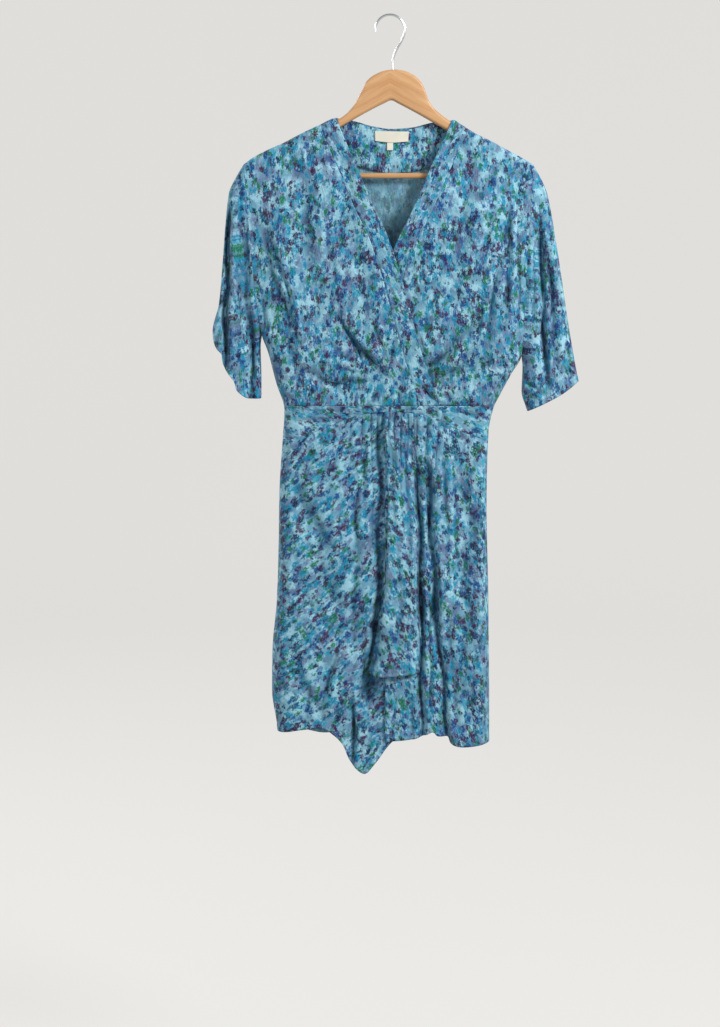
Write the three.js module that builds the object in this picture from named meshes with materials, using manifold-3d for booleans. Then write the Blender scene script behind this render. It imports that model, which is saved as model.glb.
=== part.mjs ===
// A wrap dress with a V neck, elbow-length sleeves and a draped skirt, hanging on a wooden hanger.
// Millimetres. +X is to the right of someone who faces the front, -Y is the front, +Z is up.
// The origin is the inner top of the hanger's hook, where a rail or peg carries it.
// Every cloth piece is a wall around a middle surface. Its outline is a patch in X and Z, and its depth in Y
// is the body's own rounded section at that point, pressed in or out by the rows of the fold tables.
import * as THREE from 'three';
import { mergeVertices } from 'three/addons/utils/BufferGeometryUtils.js';
import Module from 'manifold-3d';

const wasm = await Module();
wasm.setup();

// Driving sizes
const CLOTH = 1.2; // cloth wall
const SEAM = 0.3; // gap between pieces at a seam
const ARCH_SEAM = 0.6; // gap along the curved seam under the waistband
const LAYER = 3; // from one layer of cloth to the next behind it
const INNER_LAYER = 1.9; // from the back to the facing in it, and on to the label
const WOOD_HALF = 6; // half the hanger's thickness
const RIDGE = 8; // half the depth of the cloth where it turns over the hanger's arm
const SHOULDER_COS = 0.9; // of the shoulder's slope
const SHOULDER_DROP = 110; // below the shoulder line by this much, the body has its full depth
const SIDE_ROUND = 24; // how far in from a side seam the front reaches its full depth
const ARMHOLE_BLEND = 46; // how far in from an armhole the body reaches its full depth
const ARMHOLE_HALF = 14; // half the armhole's depth from front to back
const ARMHOLE_POWER = { top: 8, armpit: 4 }; // the armhole is square at its top and rounder at the armpit
const ARMPIT_CLEAR = 1.2; // the sleeve stands off the bodice by this much at the armpit
const NECK_HALF = 9.8; // the back neck stands this far behind the middle
const BAND_WIDTH = 27; // the bands along the V neck
const WAIST_Z = -566; // seam from bodice to waistband
const BACK_WAIST_Z = -619; // seam from waistband to skirt, at the sides and behind
const SLEEVE_HALF = 19; // half a sleeve's depth at its hem
const NECK_TURN = 8; // the back leaves the hanger over this much past each neck point
const NECK_BLEND = { z: -330, over: 90 }; // where the back neck's stand dies away
// The under front lies a layer back where the other front covers it
const UNDER_LAP = { past: 45, over: 35, z: -250, down: 60 };
// The flap stands off the skirt by more as it falls, and by less towards its fold
const FLAP_STAND = { more: 6, z: -600, down: 330, fold: 60, over: 40 };

// The side outline from the shoulder's end down the armhole, the armpit and the side seam to below the hem
const LEFT_ARMPIT_Z = -462;
const RIGHT_ARMPIT_Z = -492;
const LEFT_SIDE = [
  { z: -213, x: -214 }, { z: -300, x: -207 }, { z: -380, x: -200 }, { z: -462, x: -189 },
  { z: -487, x: -180 }, { z: -533, x: -168 }, { z: -574, x: -156 }, { z: -619, x: -159 },
  { z: -694, x: -164 }, { z: -785, x: -166 }, { z: -861, x: -169 }, { z: -938, x: -176 },
  { z: -1000, x: -177 }, { z: -1061, x: -169 }, { z: -1140, x: -166 },
];
const RIGHT_SIDE = [
  { z: -213, x: 210 }, { z: -300, x: 205 }, { z: -400, x: 200 }, { z: -492, x: 196 },
  { z: -520, x: 181 }, { z: -550, x: 165 }, { z: -571, x: 155 }, { z: -607, x: 148 },
  { z: -700, x: 146 }, { z: -861, x: 150 }, { z: -1077, x: 153 }, { z: -1140, x: 153 },
];
// The shoulder line, which the hanger's arms carry, with the back neck between its two neck points
const LEFT_NECK = { x: -77, z: -146 };
const RIGHT_NECK = { x: 91, z: -149 };
const SHOULDER = [
  { x: -214, z: -213 }, { x: -202, z: -204 }, { x: -181, z: -193 }, { x: -152, z: -180 },
  { x: -133, z: -170 }, { x: -105, z: -157 }, { x: -77, z: -146 }, { x: -51, z: -151 },
  { x: -26, z: -158 }, { x: 2, z: -162 }, { x: 32, z: -160 }, { x: 62, z: -153 },
  { x: 91, z: -149 }, { x: 107, z: -157 }, { x: 125, z: -168 }, { x: 150, z: -180 },
  { x: 172, z: -192 }, { x: 195, z: -204 }, { x: 210, z: -213 },
];
// Half depths of the body at its middle, in front and behind
const BODY_DEPTH = [
  { z: -140, front: 11, back: 10 }, { z: -230, front: 19, back: 14 }, { z: -330, front: 26, back: 17 },
  { z: -450, front: 26, back: 18 }, { z: -566, front: 20, back: 16 }, { z: -620, front: 20, back: 17 },
  { z: -760, front: 25, back: 21 }, { z: -950, front: 31, back: 25 }, { z: -1140, front: 35, back: 29 },
];
// Free edges of the two fronts, from the neck point down to the waist seam
const OVER_EDGE = [
  { x: -77, z: -146 }, { x: -72, z: -162 }, { x: -63, z: -183 }, { x: -45, z: -224 }, { x: -26, z: -269 },
  { x: -4, z: -315 }, { x: 16, z: -374 }, { x: 32, z: -433 }, { x: 47, z: -487 }, { x: 73, z: -566 },
];
const UNDER_EDGE = [
  { x: 91, z: -149 }, { x: 84, z: -165 }, { x: 74, z: -187 }, { x: 59, z: -219 }, { x: 34, z: -277 },
  { x: 5, z: -337 }, { x: -12, z: -390 }, { x: -32, z: -470 }, { x: -51, z: -566 },
];
// The waistband's lower edge, which rises to the gathers at the centre front
const WAIST_ARCH = [
  { x: -158.5, z: -619 }, { x: -120, z: -608 }, { x: -88, z: -596 }, { x: -66, z: -586.5 },
  { x: -46, z: -579.5 }, { x: -26, z: -576 }, { x: 0, z: -575 }, { x: 28, z: -576 }, { x: 48, z: -579 },
  { x: 64, z: -585 }, { x: 83, z: -593.5 }, { x: 120, z: -609 }, { x: 147.5, z: -619 },
];
// Hems of the skirt's front pieces, from left to right
const LEFT_HEM = [
  { x: -169, z: -1061 }, { x: -135, z: -1055 }, { x: -102, z: -1052 }, { x: -83, z: -1063 },
  { x: -70, z: -1077 }, { x: -57, z: -1105 }, { x: -37, z: -1122 }, { x: -21, z: -1107 },
  { x: -2, z: -1081 }, { x: 12, z: -1066 },
];
const RIGHT_HEM = [
  { x: -6, z: -1074 }, { x: 5, z: -1072 }, { x: 34, z: -1069 }, { x: 56, z: -1063 }, { x: 66, z: -1058 },
  { x: 74, z: -1064 }, { x: 89, z: -1065 }, { x: 94, z: -1075 }, { x: 112, z: -1080 }, { x: 153, z: -1077 },
];
const FLAP_EDGE = [
  { x: -7, z: -575.5 }, { x: -2, z: -709 }, { x: -3, z: -777 }, { x: -7, z: -846 }, { x: -16, z: -892 },
  { x: -25, z: -938 }, { x: -31, z: -966 },
];
const FLAP_HEM = [
  { x: -31, z: -966 }, { x: -16, z: -972 }, { x: 3, z: -971 }, { x: 25, z: -969 }, { x: 46, z: -966 },
];
const FLAP_FOLD = [{ x: 35, z: -576 }, { x: 41, z: -690 }, { x: 45, z: -861 }, { x: 46, z: -966 }];

// Folds. Each runs from (x0, z0) to (x1, z1). depth presses the cloth in along the line, over width.
// lift brings the cloth forward on one side of it, 1 for the right and -1 for the left.
const BODICE_FOLDS = [
  { x0: -179, z0: -333, x1: -136, z1: -505, width: 9, depth: 4, lift: 3, side: 1 },
  { x0: -132, z0: -200, x1: -104, z1: -410, width: 16, depth: 3, lift: 0, side: 1 },
  { x0: -66, z0: -210, x1: -25, z1: -440, width: 14, depth: 2.5, lift: 0, side: 1 },
  { x0: -78, z0: -437, x1: -18, z1: -508, width: 12, depth: 3.5, lift: 0, side: 1 },
  { x0: -104, z0: -524, x1: -20, z1: -521, width: 12, depth: 3, lift: 0, side: 1 },
  { x0: 60, z0: -510, x1: 125, z1: -448, width: 11, depth: 4, lift: 0, side: 1 },
  { x0: 66, z0: -530, x1: 140, z1: -500, width: 11, depth: 3, lift: 0, side: 1 },
  { x0: 164, z0: -350, x1: 142, z1: -497, width: 9, depth: 4, lift: 2, side: -1 },
  { x0: 176, z0: -300, x1: 172, z1: -440, width: 9, depth: 4, lift: 0, side: 1 },
  { x0: 120, z0: -210, x1: 96, z1: -400, width: 14, depth: 2.5, lift: 0, side: 1 },
];
const SKIRT_FOLDS = [
  { x0: -35, z0: -630, x1: -38, z1: -700, width: 5, depth: 5, lift: 0, side: 1 },
  { x0: -15, z0: -625, x1: -16, z1: -880, width: 8, depth: 8, lift: 0, side: 1 },
  { x0: -21, z0: -900, x1: -30, z1: -1005, width: 11, depth: 8, lift: 0, side: 1 },
  { x0: 31, z0: -590, x1: 36, z1: -650, width: 5, depth: 5, lift: 0, side: 1 },
  { x0: 42, z0: -670, x1: 48, z1: -861, width: 6, depth: 8, lift: 0, side: 1 },
  { x0: 48, z0: -861, x1: 49, z1: -1100, width: 6, depth: 8, lift: 0, side: 1 },
  { x0: 59, z0: -670, x1: 70, z1: -860, width: 6, depth: 8, lift: 6, side: 1 },
  { x0: 70, z0: -860, x1: 93, z1: -1100, width: 6, depth: 8, lift: 6, side: 1 },
  { x0: -46, z0: -718, x1: -53, z1: -915, width: 6, depth: 4, lift: 0, side: 1 },
  { x0: -55, z0: -1010, x1: -54, z1: -1130, width: 6, depth: 4, lift: 2, side: 1 },
  { x0: -80, z0: -940, x1: -100, z1: -1020, width: 6, depth: 3, lift: 3, side: 1 },
  { x0: -130, z0: -660, x1: -78, z1: -860, width: 18, depth: 3, lift: 0, side: 1 },
  { x0: 120, z0: -690, x1: 116, z1: -1000, width: 15, depth: 4, lift: 0, side: 1 },
];
const BACK_FOLDS = [
  { x0: -120, z0: -230, x1: -60, z1: -520, width: 16, depth: 4, lift: 0, side: 1 },
  { x0: 110, z0: -240, x1: 70, z1: -540, width: 14, depth: 4, lift: 0, side: 1 },
  { x0: 8, z0: -260, x1: -4, z1: -520, width: 18, depth: 3, lift: 0, side: 1 },
  { x0: -90, z0: -650, x1: -104, z1: -1150, width: 16, depth: 7, lift: 0, side: 1 },
  { x0: -20, z0: -640, x1: -26, z1: -1150, width: 14, depth: 6, lift: 0, side: 1 },
  { x0: 48, z0: -650, x1: 56, z1: -1150, width: 15, depth: 7, lift: 0, side: 1 },
  { x0: 105, z0: -700, x1: 112, z1: -1150, width: 13, depth: 5, lift: 0, side: 1 },
];
const LEFT_SLEEVE_FOLDS = [
  { x0: -237, z0: -290, x1: -241, z1: -410, width: 6, depth: 9, lift: 0, side: 1 },
  { x0: -241, z0: -410, x1: -244, z1: -520, width: 6, depth: 9, lift: 0, side: 1 },
  { x0: -214, z0: -330, x1: -202, z1: -560, width: 6, depth: 6, lift: 0, side: 1 },
];
const RIGHT_SLEEVE_FOLDS = [
  { x0: 221, z0: -300, x1: 232, z1: -520, width: 6, depth: 6, lift: 0, side: 1 },
  { x0: 231, z0: -345, x1: 249, z1: -500, width: 6, depth: 5, lift: 0, side: 1 },
];
// Gathers where the skirt's front meets the waistband
const GATHERS = { left: -66, right: 84, pitch: 13, depth: 1.9, length: 150, edge: 20 };

// Small mathematics
const clamp01 = (t) => Math.min(Math.max(t, 0), 1);
const mix = (a, b, t) => a + (b - a) * t;
const ease = (t) => clamp01(t) ** 2 * (3 - 2 * clamp01(t));
const quarterRound = (t) => Math.sqrt(clamp01(t) * (2 - clamp01(t)));
const superRound = (t, power) => Math.sqrt(Math.max(1 - Math.abs(2 * t - 1) ** power, 0));
// A smooth function through the points (at, value): a cubic whose slopes never swing past a point.
function smoothThrough(at, value) {
  const n = at.length;
  const rise = at.slice(1).map((a, i) => (value[i + 1] - value[i]) / (a - at[i]));
  const slope = at.map((_, i) => {
    if (i === 0) return rise[0];
    if (i === n - 1) return rise[n - 2];
    if (rise[i - 1] * rise[i] <= 0) return 0;
    return (2 * rise[i - 1] * rise[i]) / (rise[i - 1] + rise[i]);
  });
  return (t) => {
    const up = at[n - 1] > at[0];
    let i = 0;
    while (i < n - 2 && (up ? t > at[i + 1] : t < at[i + 1])) i += 1;
    const width = at[i + 1] - at[i];
    const s = clamp01((t - at[i]) / width);
    return (
      value[i] * (1 + 2 * s) * (1 - s) ** 2 +
      slope[i] * width * s * (1 - s) ** 2 +
      value[i + 1] * s * s * (3 - 2 * s) +
      slope[i + 1] * width * s * s * (s - 1)
    );
  };
}
const column = (rows, key) => rows.map((row) => row[key]);
const byHeight = (rows, key) => smoothThrough(column(rows, 'z'), column(rows, key));
const leftX = byHeight(LEFT_SIDE, 'x');
const rightX = byHeight(RIGHT_SIDE, 'x');
const frontDepth = byHeight(BODY_DEPTH, 'front');
const backDepth = byHeight(BODY_DEPTH, 'back');
const shoulderZ = smoothThrough(column(SHOULDER, 'x'), column(SHOULDER, 'z'));
const archZ = smoothThrough(column(WAIST_ARCH, 'x'), column(WAIST_ARCH, 'z'));

// A path through points of X and Z, by share of its length
function path(points) {
  const at = [0];
  for (let i = 1; i < points.length; i += 1) {
    at.push(at[i - 1] + Math.hypot(points[i].x - points[i - 1].x, points[i].z - points[i - 1].z));
  }
  const share = at.map((a) => a / at[at.length - 1]);
  const x = smoothThrough(share, column(points, 'x'));
  const z = smoothThrough(share, column(points, 'z'));
  return (t) => ({ x: x(t), z: z(t) });
}
const alongSide = (sideX, z0, z1) => (t) => ({ x: sideX(mix(z0, z1, t)), z: mix(z0, z1, t) });
const alongShoulder = (x0, x1) => (t) => ({ x: mix(x0, x1, t), z: shoulderZ(mix(x0, x1, t)) });
const alongArch = (x0, x1) => (t) => ({ x: mix(x0, x1, t), z: archZ(mix(x0, x1, t)) });
const straight = (a, b) => (t) => ({ x: mix(a.x, b.x, t), z: mix(a.z, b.z, t) });

// A patch between four edges that meet at its corners: u runs from left to right and v from top to bottom.
function patch({ top, bottom, left, right }) {
  const blend = (u, v, k) =>
    mix(top(u)[k], bottom(u)[k], v) +
    mix(left(v)[k], right(v)[k], u) -
    mix(mix(top(0)[k], top(1)[k], u), mix(bottom(0)[k], bottom(1)[k], u), v);
  return (u, v) => ({ x: blend(u, v, 'x'), z: blend(u, v, 'z') });
}

// How far a table's folds press the cloth in at (x, z)
function foldDepth(folds, x, z) {
  const RUN_OUT = 0.2; // share of a fold's length over which it dies away past its ends
  const REACH = 7; // a lifted side sinks back over this many widths
  let sum = 0;
  for (const f of folds) {
    const dx = f.x1 - f.x0;
    const dz = f.z1 - f.z0;
    const length = Math.hypot(dx, dz);
    const along = ((x - f.x0) * dx + (z - f.z0) * dz) / length ** 2;
    const across = ((f.x0 - x) * dz + (z - f.z0) * dx) / length / f.width;
    const fade = ease((along + RUN_OUT) / RUN_OUT) * ease((1 + RUN_OUT - along) / RUN_OUT);
    const beside = across * f.side;
    const raised = f.lift * ease((beside + 1) / 2) * Math.exp(-Math.max(beside - 1, 0) / REACH);
    sum += fade * (f.depth * Math.exp(-across * across) - raised);
  }
  return sum;
}

// The cloth's turn over the hanger's arm
const overArm = (x, z) => RIDGE * quarterRound(((shoulderZ(x) - z) * SHOULDER_COS) / RIDGE);
const SIDES = [
  { edge: leftX, inward: 1, top: LEFT_SIDE[0].z, armpit: LEFT_ARMPIT_Z },
  { edge: rightX, inward: -1, top: RIGHT_SIDE[0].z, armpit: RIGHT_ARMPIT_Z },
];
const shareOfArmhole = (side, z) => (side.top - z) / (side.top - side.armpit);
// Half the armhole's depth at a height
function armholeHalf(side, z) {
  const t = shareOfArmhole(side, z);
  const power = mix(ARMHOLE_POWER.top, ARMHOLE_POWER.armpit, clamp01(t));
  const loop = ARMHOLE_HALF * superRound(clamp01(t), power);
  return t < 0.5 ? Math.max(loop, overArm(side.edge(z), z)) : loop;
}
// Half depth of the body at (x, z) from its middle: rounded at the side seams, narrow at the armholes,
// and turned over the hanger along the shoulder line.
function bodyHalf(x, z, middleDepth) {
  const turned = overArm(x, z);
  let half = turned + (middleDepth(z) - RIDGE) * ease(((shoulderZ(x) - z) * SHOULDER_COS) / SHOULDER_DROP);
  for (const side of SIDES) {
    if (z > side.top) continue;
    const inward = (x - side.edge(z)) * side.inward;
    const t = shareOfArmhole(side, z);
    const hole = armholeHalf(side, z);
    const sewn = t < 0.5 ? 0 : 1 - hole / ARMHOLE_HALF;
    const rise = mix(ease(inward / ARMHOLE_BLEND), quarterRound(inward / SIDE_ROUND), sewn);
    half = mix(hole, half, rise);
    if (t < 0.5) half = Math.max(half, turned);
  }
  return half;
}
// Folds fade out towards the side seams and the shoulders, where the pieces are sewn.
const loose = (x, z) =>
  ease((x - leftX(z)) / 30) * ease((rightX(z) - x) / 30) * ease((shoulderZ(x) - z - 12) / 60);
const awayFromWaist = (z) => ease(Math.abs(z - WAIST_Z) / 30);
const aboveWaist = (z) => ease((z - WAIST_Z) / 30);

const frontY = (x, z) => -bodyHalf(x, z, frontDepth);
// Behind the neck opening the back's free edge stands clear of the hanger instead of turning over it.
function backY(x, z) {
  const overNeck = quarterRound((x - LEFT_NECK.x) / NECK_TURN) * quarterRound((RIGHT_NECK.x - x) / NECK_TURN);
  const clear = NECK_HALF * ease((z - NECK_BLEND.z) / NECK_BLEND.over);
  return Math.max(bodyHalf(x, z, backDepth), mix(0, clear, overNeck));
}
const bodiceY = (x, z) =>
  frontY(x, z) + foldDepth(BODICE_FOLDS, x, z) * loose(x, z) * aboveWaist(z);
function gatherDepth(x, z) {
  const inside = ease((x - GATHERS.left) / GATHERS.edge) * ease((GATHERS.right - x) / GATHERS.edge);
  const below = archZ(x) - z;
  const strength = ease(below / 8) * (1 - ease(below / GATHERS.length));
  return GATHERS.depth * inside * strength * Math.cos((2 * Math.PI * x) / GATHERS.pitch + Math.sin(x / 17));
}
const belowArch = (x, z) => ease((archZ(x) - z) / 40);
const skirtY = (x, z) => frontY(x, z) + foldDepth(SKIRT_FOLDS, x, z) * loose(x, z) * belowArch(x, z);
const skirtBackY = (x, z) => backY(x, z) - foldDepth(BACK_FOLDS, x, z) * loose(x, z) * awayFromWaist(z);

// Cloth walls
// Columns or rows as shares of the way across, closer together near the given shares
function knots(count, centres = [], spread = 0.05, weight = 2.5) {
  const STEPS = 400;
  const density = (t) => 1 + centres.reduce((s, c) => s + weight * Math.exp(-(((t - c) / spread) ** 2)), 0);
  const total = [0];
  for (let i = 1; i <= STEPS; i += 1) total.push(total[i - 1] + density((i - 0.5) / STEPS));
  return Array.from({ length: count + 1 }, (_, k) => {
    const goal = (k / count) * total[STEPS];
    let i = 0;
    while (i < STEPS - 1 && total[i + 1] < goal) i += 1;
    return (i + (goal - total[i]) / (total[i + 1] - total[i])) / STEPS;
  });
}
const tightAtTop = (count, power) => Array.from({ length: count + 1 }, (_, i) => (i / count) ** power);
// Rows that follow the turn over the hanger's arm in even angles and close up again towards the waist
function shoulderRows(count) {
  const TURNS = 5;
  const reach = RIDGE / (LEFT_SIDE[0].z - WAIST_Z);
  const turn = Array.from({ length: TURNS }, (_, i) => reach * (1 - Math.cos((i / TURNS) * (Math.PI / 2))));
  return [...turn, ...knots(count, [1], 0.35, 1.6).map((t) => reach + (1 - reach) * t)];
}
// Columns with one spacing up to a share of the row and another after it
function twoSpacings(first, second, at) {
  const start = Array.from({ length: first }, (_, i) => (i / first) * at);
  return [...start, ...Array.from({ length: second + 1 }, (_, i) => at + (i / second) * (1 - at))];
}

// A closed wall around a middle surface. outward is +1 or -1, for the side that cross(u, v) points to.
// straighten(normal, u, v) turns the wall's ends so that they face their neighbour across a seam.
function wall(name, material, surface, { us, vs, outward, thickness = CLOTH, straighten, ring = false }) {
  const STEP = 1e-4;
  const columns = ring ? us.length - 1 : us.length;
  const outer = [];
  const inner = [];
  for (const v of vs) {
    for (let i = 0; i < columns; i += 1) {
      const u = us[i];
      const wrap = (a) => (ring ? (a + 1) % 1 : clamp01(a));
      const du = surface(wrap(u + STEP), v).sub(surface(wrap(u - STEP), v));
      const dv = surface(u, clamp01(v + STEP)).sub(surface(u, clamp01(v - STEP)));
      const normal = du.cross(dv).normalize().multiplyScalar(outward);
      if (straighten) straighten(normal, u, v);
      normal.normalize();
      const middle = surface(u, v);
      outer.push(middle.clone().addScaledVector(normal, thickness / 2));
      inner.push(middle.clone().addScaledVector(normal, -thickness / 2));
    }
  }
  const points = [...outer, ...inner];
  const at = (i, j) => j * columns + (i % columns);
  const back = outer.length;
  const faces = [];
  const quad = (a, b, c, d) => faces.push(a, b, c, a, c, d);
  const cells = us.length - 1;
  for (let j = 0; j < vs.length - 1; j += 1) {
    for (let i = 0; i < cells; i += 1) {
      quad(at(i, j), at(i, j + 1), at(i + 1, j + 1), at(i + 1, j));
      quad(back + at(i, j), back + at(i + 1, j), back + at(i + 1, j + 1), back + at(i, j + 1));
    }
  }
  for (let i = 0; i < cells; i += 1) {
    quad(at(i, 0), at(i + 1, 0), back + at(i + 1, 0), back + at(i, 0));
    const last = vs.length - 1;
    quad(at(i + 1, last), at(i, last), back + at(i, last), back + at(i + 1, last));
  }
  for (let j = 0; j < vs.length - 1 && !ring; j += 1) {
    quad(at(0, j + 1), at(0, j), back + at(0, j), back + at(0, j + 1));
    quad(at(cells, j), at(cells, j + 1), back + at(cells, j + 1), back + at(cells, j));
  }
  return closedMesh(name, material, points, faces);
}
// A mesh from points and faces, turned so that its faces point out
function closedMesh(name, material, points, faces) {
  const volume = faces.reduce((sum, _, k) => {
    if (k % 3) return sum;
    const [a, b, c] = [points[faces[k]], points[faces[k + 1]], points[faces[k + 2]]];
    return sum + a.dot(b.clone().cross(c));
  }, 0);
  const turned = volume > 0 ? faces : faces.slice().reverse();
  const geometry = new THREE.BufferGeometry().setFromPoints(points);
  geometry.setIndex(turned);
  geometry.computeVertexNormals();
  const mesh = new THREE.Mesh(geometry, material);
  mesh.name = name;
  return mesh;
}
// A middle surface from an outline patch and a depth in Y at each point of it
const drape = (outline, depth) => (u, v) => {
  const { x, z } = outline(u, v);
  return new THREE.Vector3(x, depth(x, z), z);
};
// The part of an outline patch between two shares of each row
const between = (outline, from, to) => (u, v) => outline(mix(from(v), to(v), u), v);
// Turns the ends of a wall: level at a waist seam, plumb at an armhole
const level = (normal) => { normal.z = 0; };
const plumb = (normal) => { normal.x = 0; };

// Materials
const printed = new THREE.MeshStandardMaterial({ color: 0x6f9fc4, roughness: 0.82, metalness: 0 });
const cream = new THREE.MeshStandardMaterial({ color: 0xece6d2, roughness: 0.8, metalness: 0 });
const beech = new THREE.MeshStandardMaterial({ color: 0xd49a62, roughness: 0.45, metalness: 0 });
const steel = new THREE.MeshStandardMaterial({ color: 0xb8bbbd, roughness: 0.25, metalness: 1 });

// Bodice
const seamRows = shoulderRows(13);
const overOutline = patch({
  top: alongShoulder(LEFT_SIDE[0].x, LEFT_NECK.x),
  bottom: straight({ x: leftX(WAIST_Z), z: WAIST_Z }, { x: 73, z: WAIST_Z }),
  left: alongSide(leftX, LEFT_SIDE[0].z, WAIST_Z),
  right: path(OVER_EDGE),
});
const underOutline = patch({
  top: alongShoulder(RIGHT_NECK.x, RIGHT_SIDE[0].x),
  bottom: straight({ x: -51, z: WAIST_Z }, { x: rightX(WAIST_Z), z: WAIST_Z }),
  left: path(UNDER_EDGE),
  right: alongSide(rightX, RIGHT_SIDE[0].z, WAIST_Z),
});
const overEdgeX = byHeight(OVER_EDGE, 'x');
function underY(x, z) {
  const behind = ease((overEdgeX(z) + UNDER_LAP.past - x) / UNDER_LAP.over);
  return bodiceY(x, z) + LAYER * behind * ease((UNDER_LAP.z - z) / UNDER_LAP.down);
}
const rowWidth = (outline, v) => {
  const a = outline(0, v);
  const b = outline(1, v);
  return Math.hypot(a.x - b.x, a.z - b.z);
};
const overBandFrom = (v) => 1 - BAND_WIDTH / rowWidth(overOutline, v);
const underBandTo = (v) => BAND_WIDTH / rowWidth(underOutline, v);
const halfSeam = (outline, v) => SEAM / 2 / rowWidth(outline, v);
// A bodice wall's ends: y = 0 along the shoulder and side seams is kept open by half a seam
const halfGap = (y, sign) => sign * Math.max(sign * y, SEAM / 2);
function bodiceEnds(armholeAt, armpitV) {
  return (normal, u, v) => {
    if (v === 1) level(normal);
    if (u === armholeAt && v < armpitV) plumb(normal);
  };
}
const share = (top, z) => (top - z) / (top - WAIST_Z);
function bodiceFronts() {
  const leftArmpit = share(LEFT_SIDE[0].z, LEFT_ARMPIT_Z);
  const rightArmpit = share(RIGHT_SIDE[0].z, RIGHT_ARMPIT_Z);
  const overY = (x, z) => halfGap(bodiceY(x, z), -1);
  const underSeamY = (x, z) => halfGap(underY(x, z), -1);
  const overMain = between(overOutline, () => 0, (v) => overBandFrom(v) - halfSeam(overOutline, v));
  const overBand = between(overOutline, (v) => overBandFrom(v) + halfSeam(overOutline, v), () => 1);
  const underMain = between(underOutline, (v) => underBandTo(v) + halfSeam(underOutline, v), () => 1);
  const underBand = between(underOutline, () => 0, (v) => underBandTo(v) - halfSeam(underOutline, v));
  const rows = { vs: seamRows, outward: -1 };
  return [
    wall('bodice_front_over', printed, drape(overMain, overY), {
      ...rows, us: knots(22, [0], 0.08, 2), straighten: bodiceEnds(0, leftArmpit),
    }),
    wall('neck_band_over', printed, drape(overBand, overY), {
      ...rows, us: knots(3), straighten: bodiceEnds(-1, 0),
    }),
    wall('bodice_front_under', printed, drape(underMain, underSeamY), {
      ...rows, us: knots(20, [1], 0.08, 2), straighten: bodiceEnds(1, rightArmpit),
    }),
    wall('neck_band_under', printed, drape(underBand, underSeamY), {
      ...rows, us: knots(3), straighten: bodiceEnds(-1, 0),
    }),
  ];
}
const backOutline = patch({
  top: alongShoulder(LEFT_SIDE[0].x, RIGHT_SIDE[0].x),
  bottom: straight({ x: leftX(WAIST_Z), z: WAIST_Z }, { x: rightX(WAIST_Z), z: WAIST_Z }),
  left: alongSide(leftX, LEFT_SIDE[0].z, WAIST_Z),
  right: alongSide(rightX, RIGHT_SIDE[0].z, WAIST_Z),
});
const backSeamY = (x, z) => halfGap(skirtBackY(x, z), 1);
const shoulderShare = (x) => (x - LEFT_SIDE[0].x) / (RIGHT_SIDE[0].x - LEFT_SIDE[0].x);
function bodiceBack() {
  const armpit = share(RIGHT_SIDE[0].z, RIGHT_ARMPIT_Z);
  return wall('bodice_back', printed, drape(backOutline, backSeamY), {
    us: knots(32, [0, shoulderShare(LEFT_NECK.x), shoulderShare(RIGHT_NECK.x), 1], 0.04, 2),
    vs: shoulderRows(9),
    outward: 1,
    straighten: (normal, u, v) => {
      if (v === 1) level(normal);
      if ((u === 0 || u === 1) && v < armpit) plumb(normal);
    },
  });
}

// The facing inside the back neck, and the blank label and size tab that are sewn to it
const FACING = { left: -62, right: 76, drop: 62 };
const LABEL = { left: -22, right: 28, top: -165, bottom: -180, thickness: 1 };
const SIZE_TAB = { left: -4, right: 5, top: -180.5, bottom: -192, thickness: 1 };
const insideBack = (layers) => (x, z) => backSeamY(x, z) - layers * INNER_LAYER;
function backFacing() {
  const { left, right, drop } = FACING;
  const topAt = (t) => ({ x: mix(left, right, t), z: shoulderZ(mix(left, right, t)) - 1 });
  const bottomAt = (t) => ({ x: topAt(t).x, z: topAt(t).z - drop });
  const outline = patch({
    top: topAt,
    bottom: bottomAt,
    left: straight(topAt(0), bottomAt(0)),
    right: straight(topAt(1), bottomAt(1)),
  });
  return wall('back_neck_facing', printed, drape(outline, insideBack(1)), {
    us: knots(12), vs: knots(4), outward: 1, thickness: 1,
  });
}
function neckPatch(name, { left, right, top, bottom, thickness }) {
  const outline = (u, v) => ({ x: mix(left, right, u), z: mix(top, bottom, v) });
  return wall(name, cream, drape(outline, insideBack(2)), {
    us: knots(4), vs: knots(2), outward: 1, thickness,
  });
}

// Sleeves: tubes from the armhole to the hem, folded flat as they hang
const LEFT_SLEEVE = {
  outer: [
    { x: -214, z: -213 }, { x: -229, z: -238 }, { x: -236, z: -255 }, { x: -241, z: -296 },
    { x: -247, z: -366 }, { x: -252, z: -415 }, { x: -262, z: -458 }, { x: -260, z: -473 },
  ],
  inner: [{ x: -189, z: -462 }, { x: -191, z: -480 }, { x: -190, z: -532 }, { x: -191, z: -556 }],
  hem: [
    { x: -260, z: -473 }, { x: -251, z: -487 }, { x: -246, z: -505 }, { x: -241, z: -520 },
    { x: -230, z: -531 }, { x: -219, z: -547 }, { x: -206, z: -556 }, { x: -191, z: -556 },
  ],
};
const RIGHT_SLEEVE = {
  outer: [
    { x: 210, z: -213 }, { x: 224, z: -238 }, { x: 231, z: -255 }, { x: 240, z: -297 }, { x: 252, z: -366 },
    { x: 264, z: -440 }, { x: 272, z: -485 }, { x: 281, z: -530 },
  ],
  inner: [{ x: 196, z: -492 }, { x: 198, z: -510 }, { x: 197, z: -545 }, { x: 206, z: -575 }],
  hem: [{ x: 281, z: -530 }, { x: 257, z: -548 }, { x: 232, z: -562 }, { x: 206, z: -575 }],
};
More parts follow.
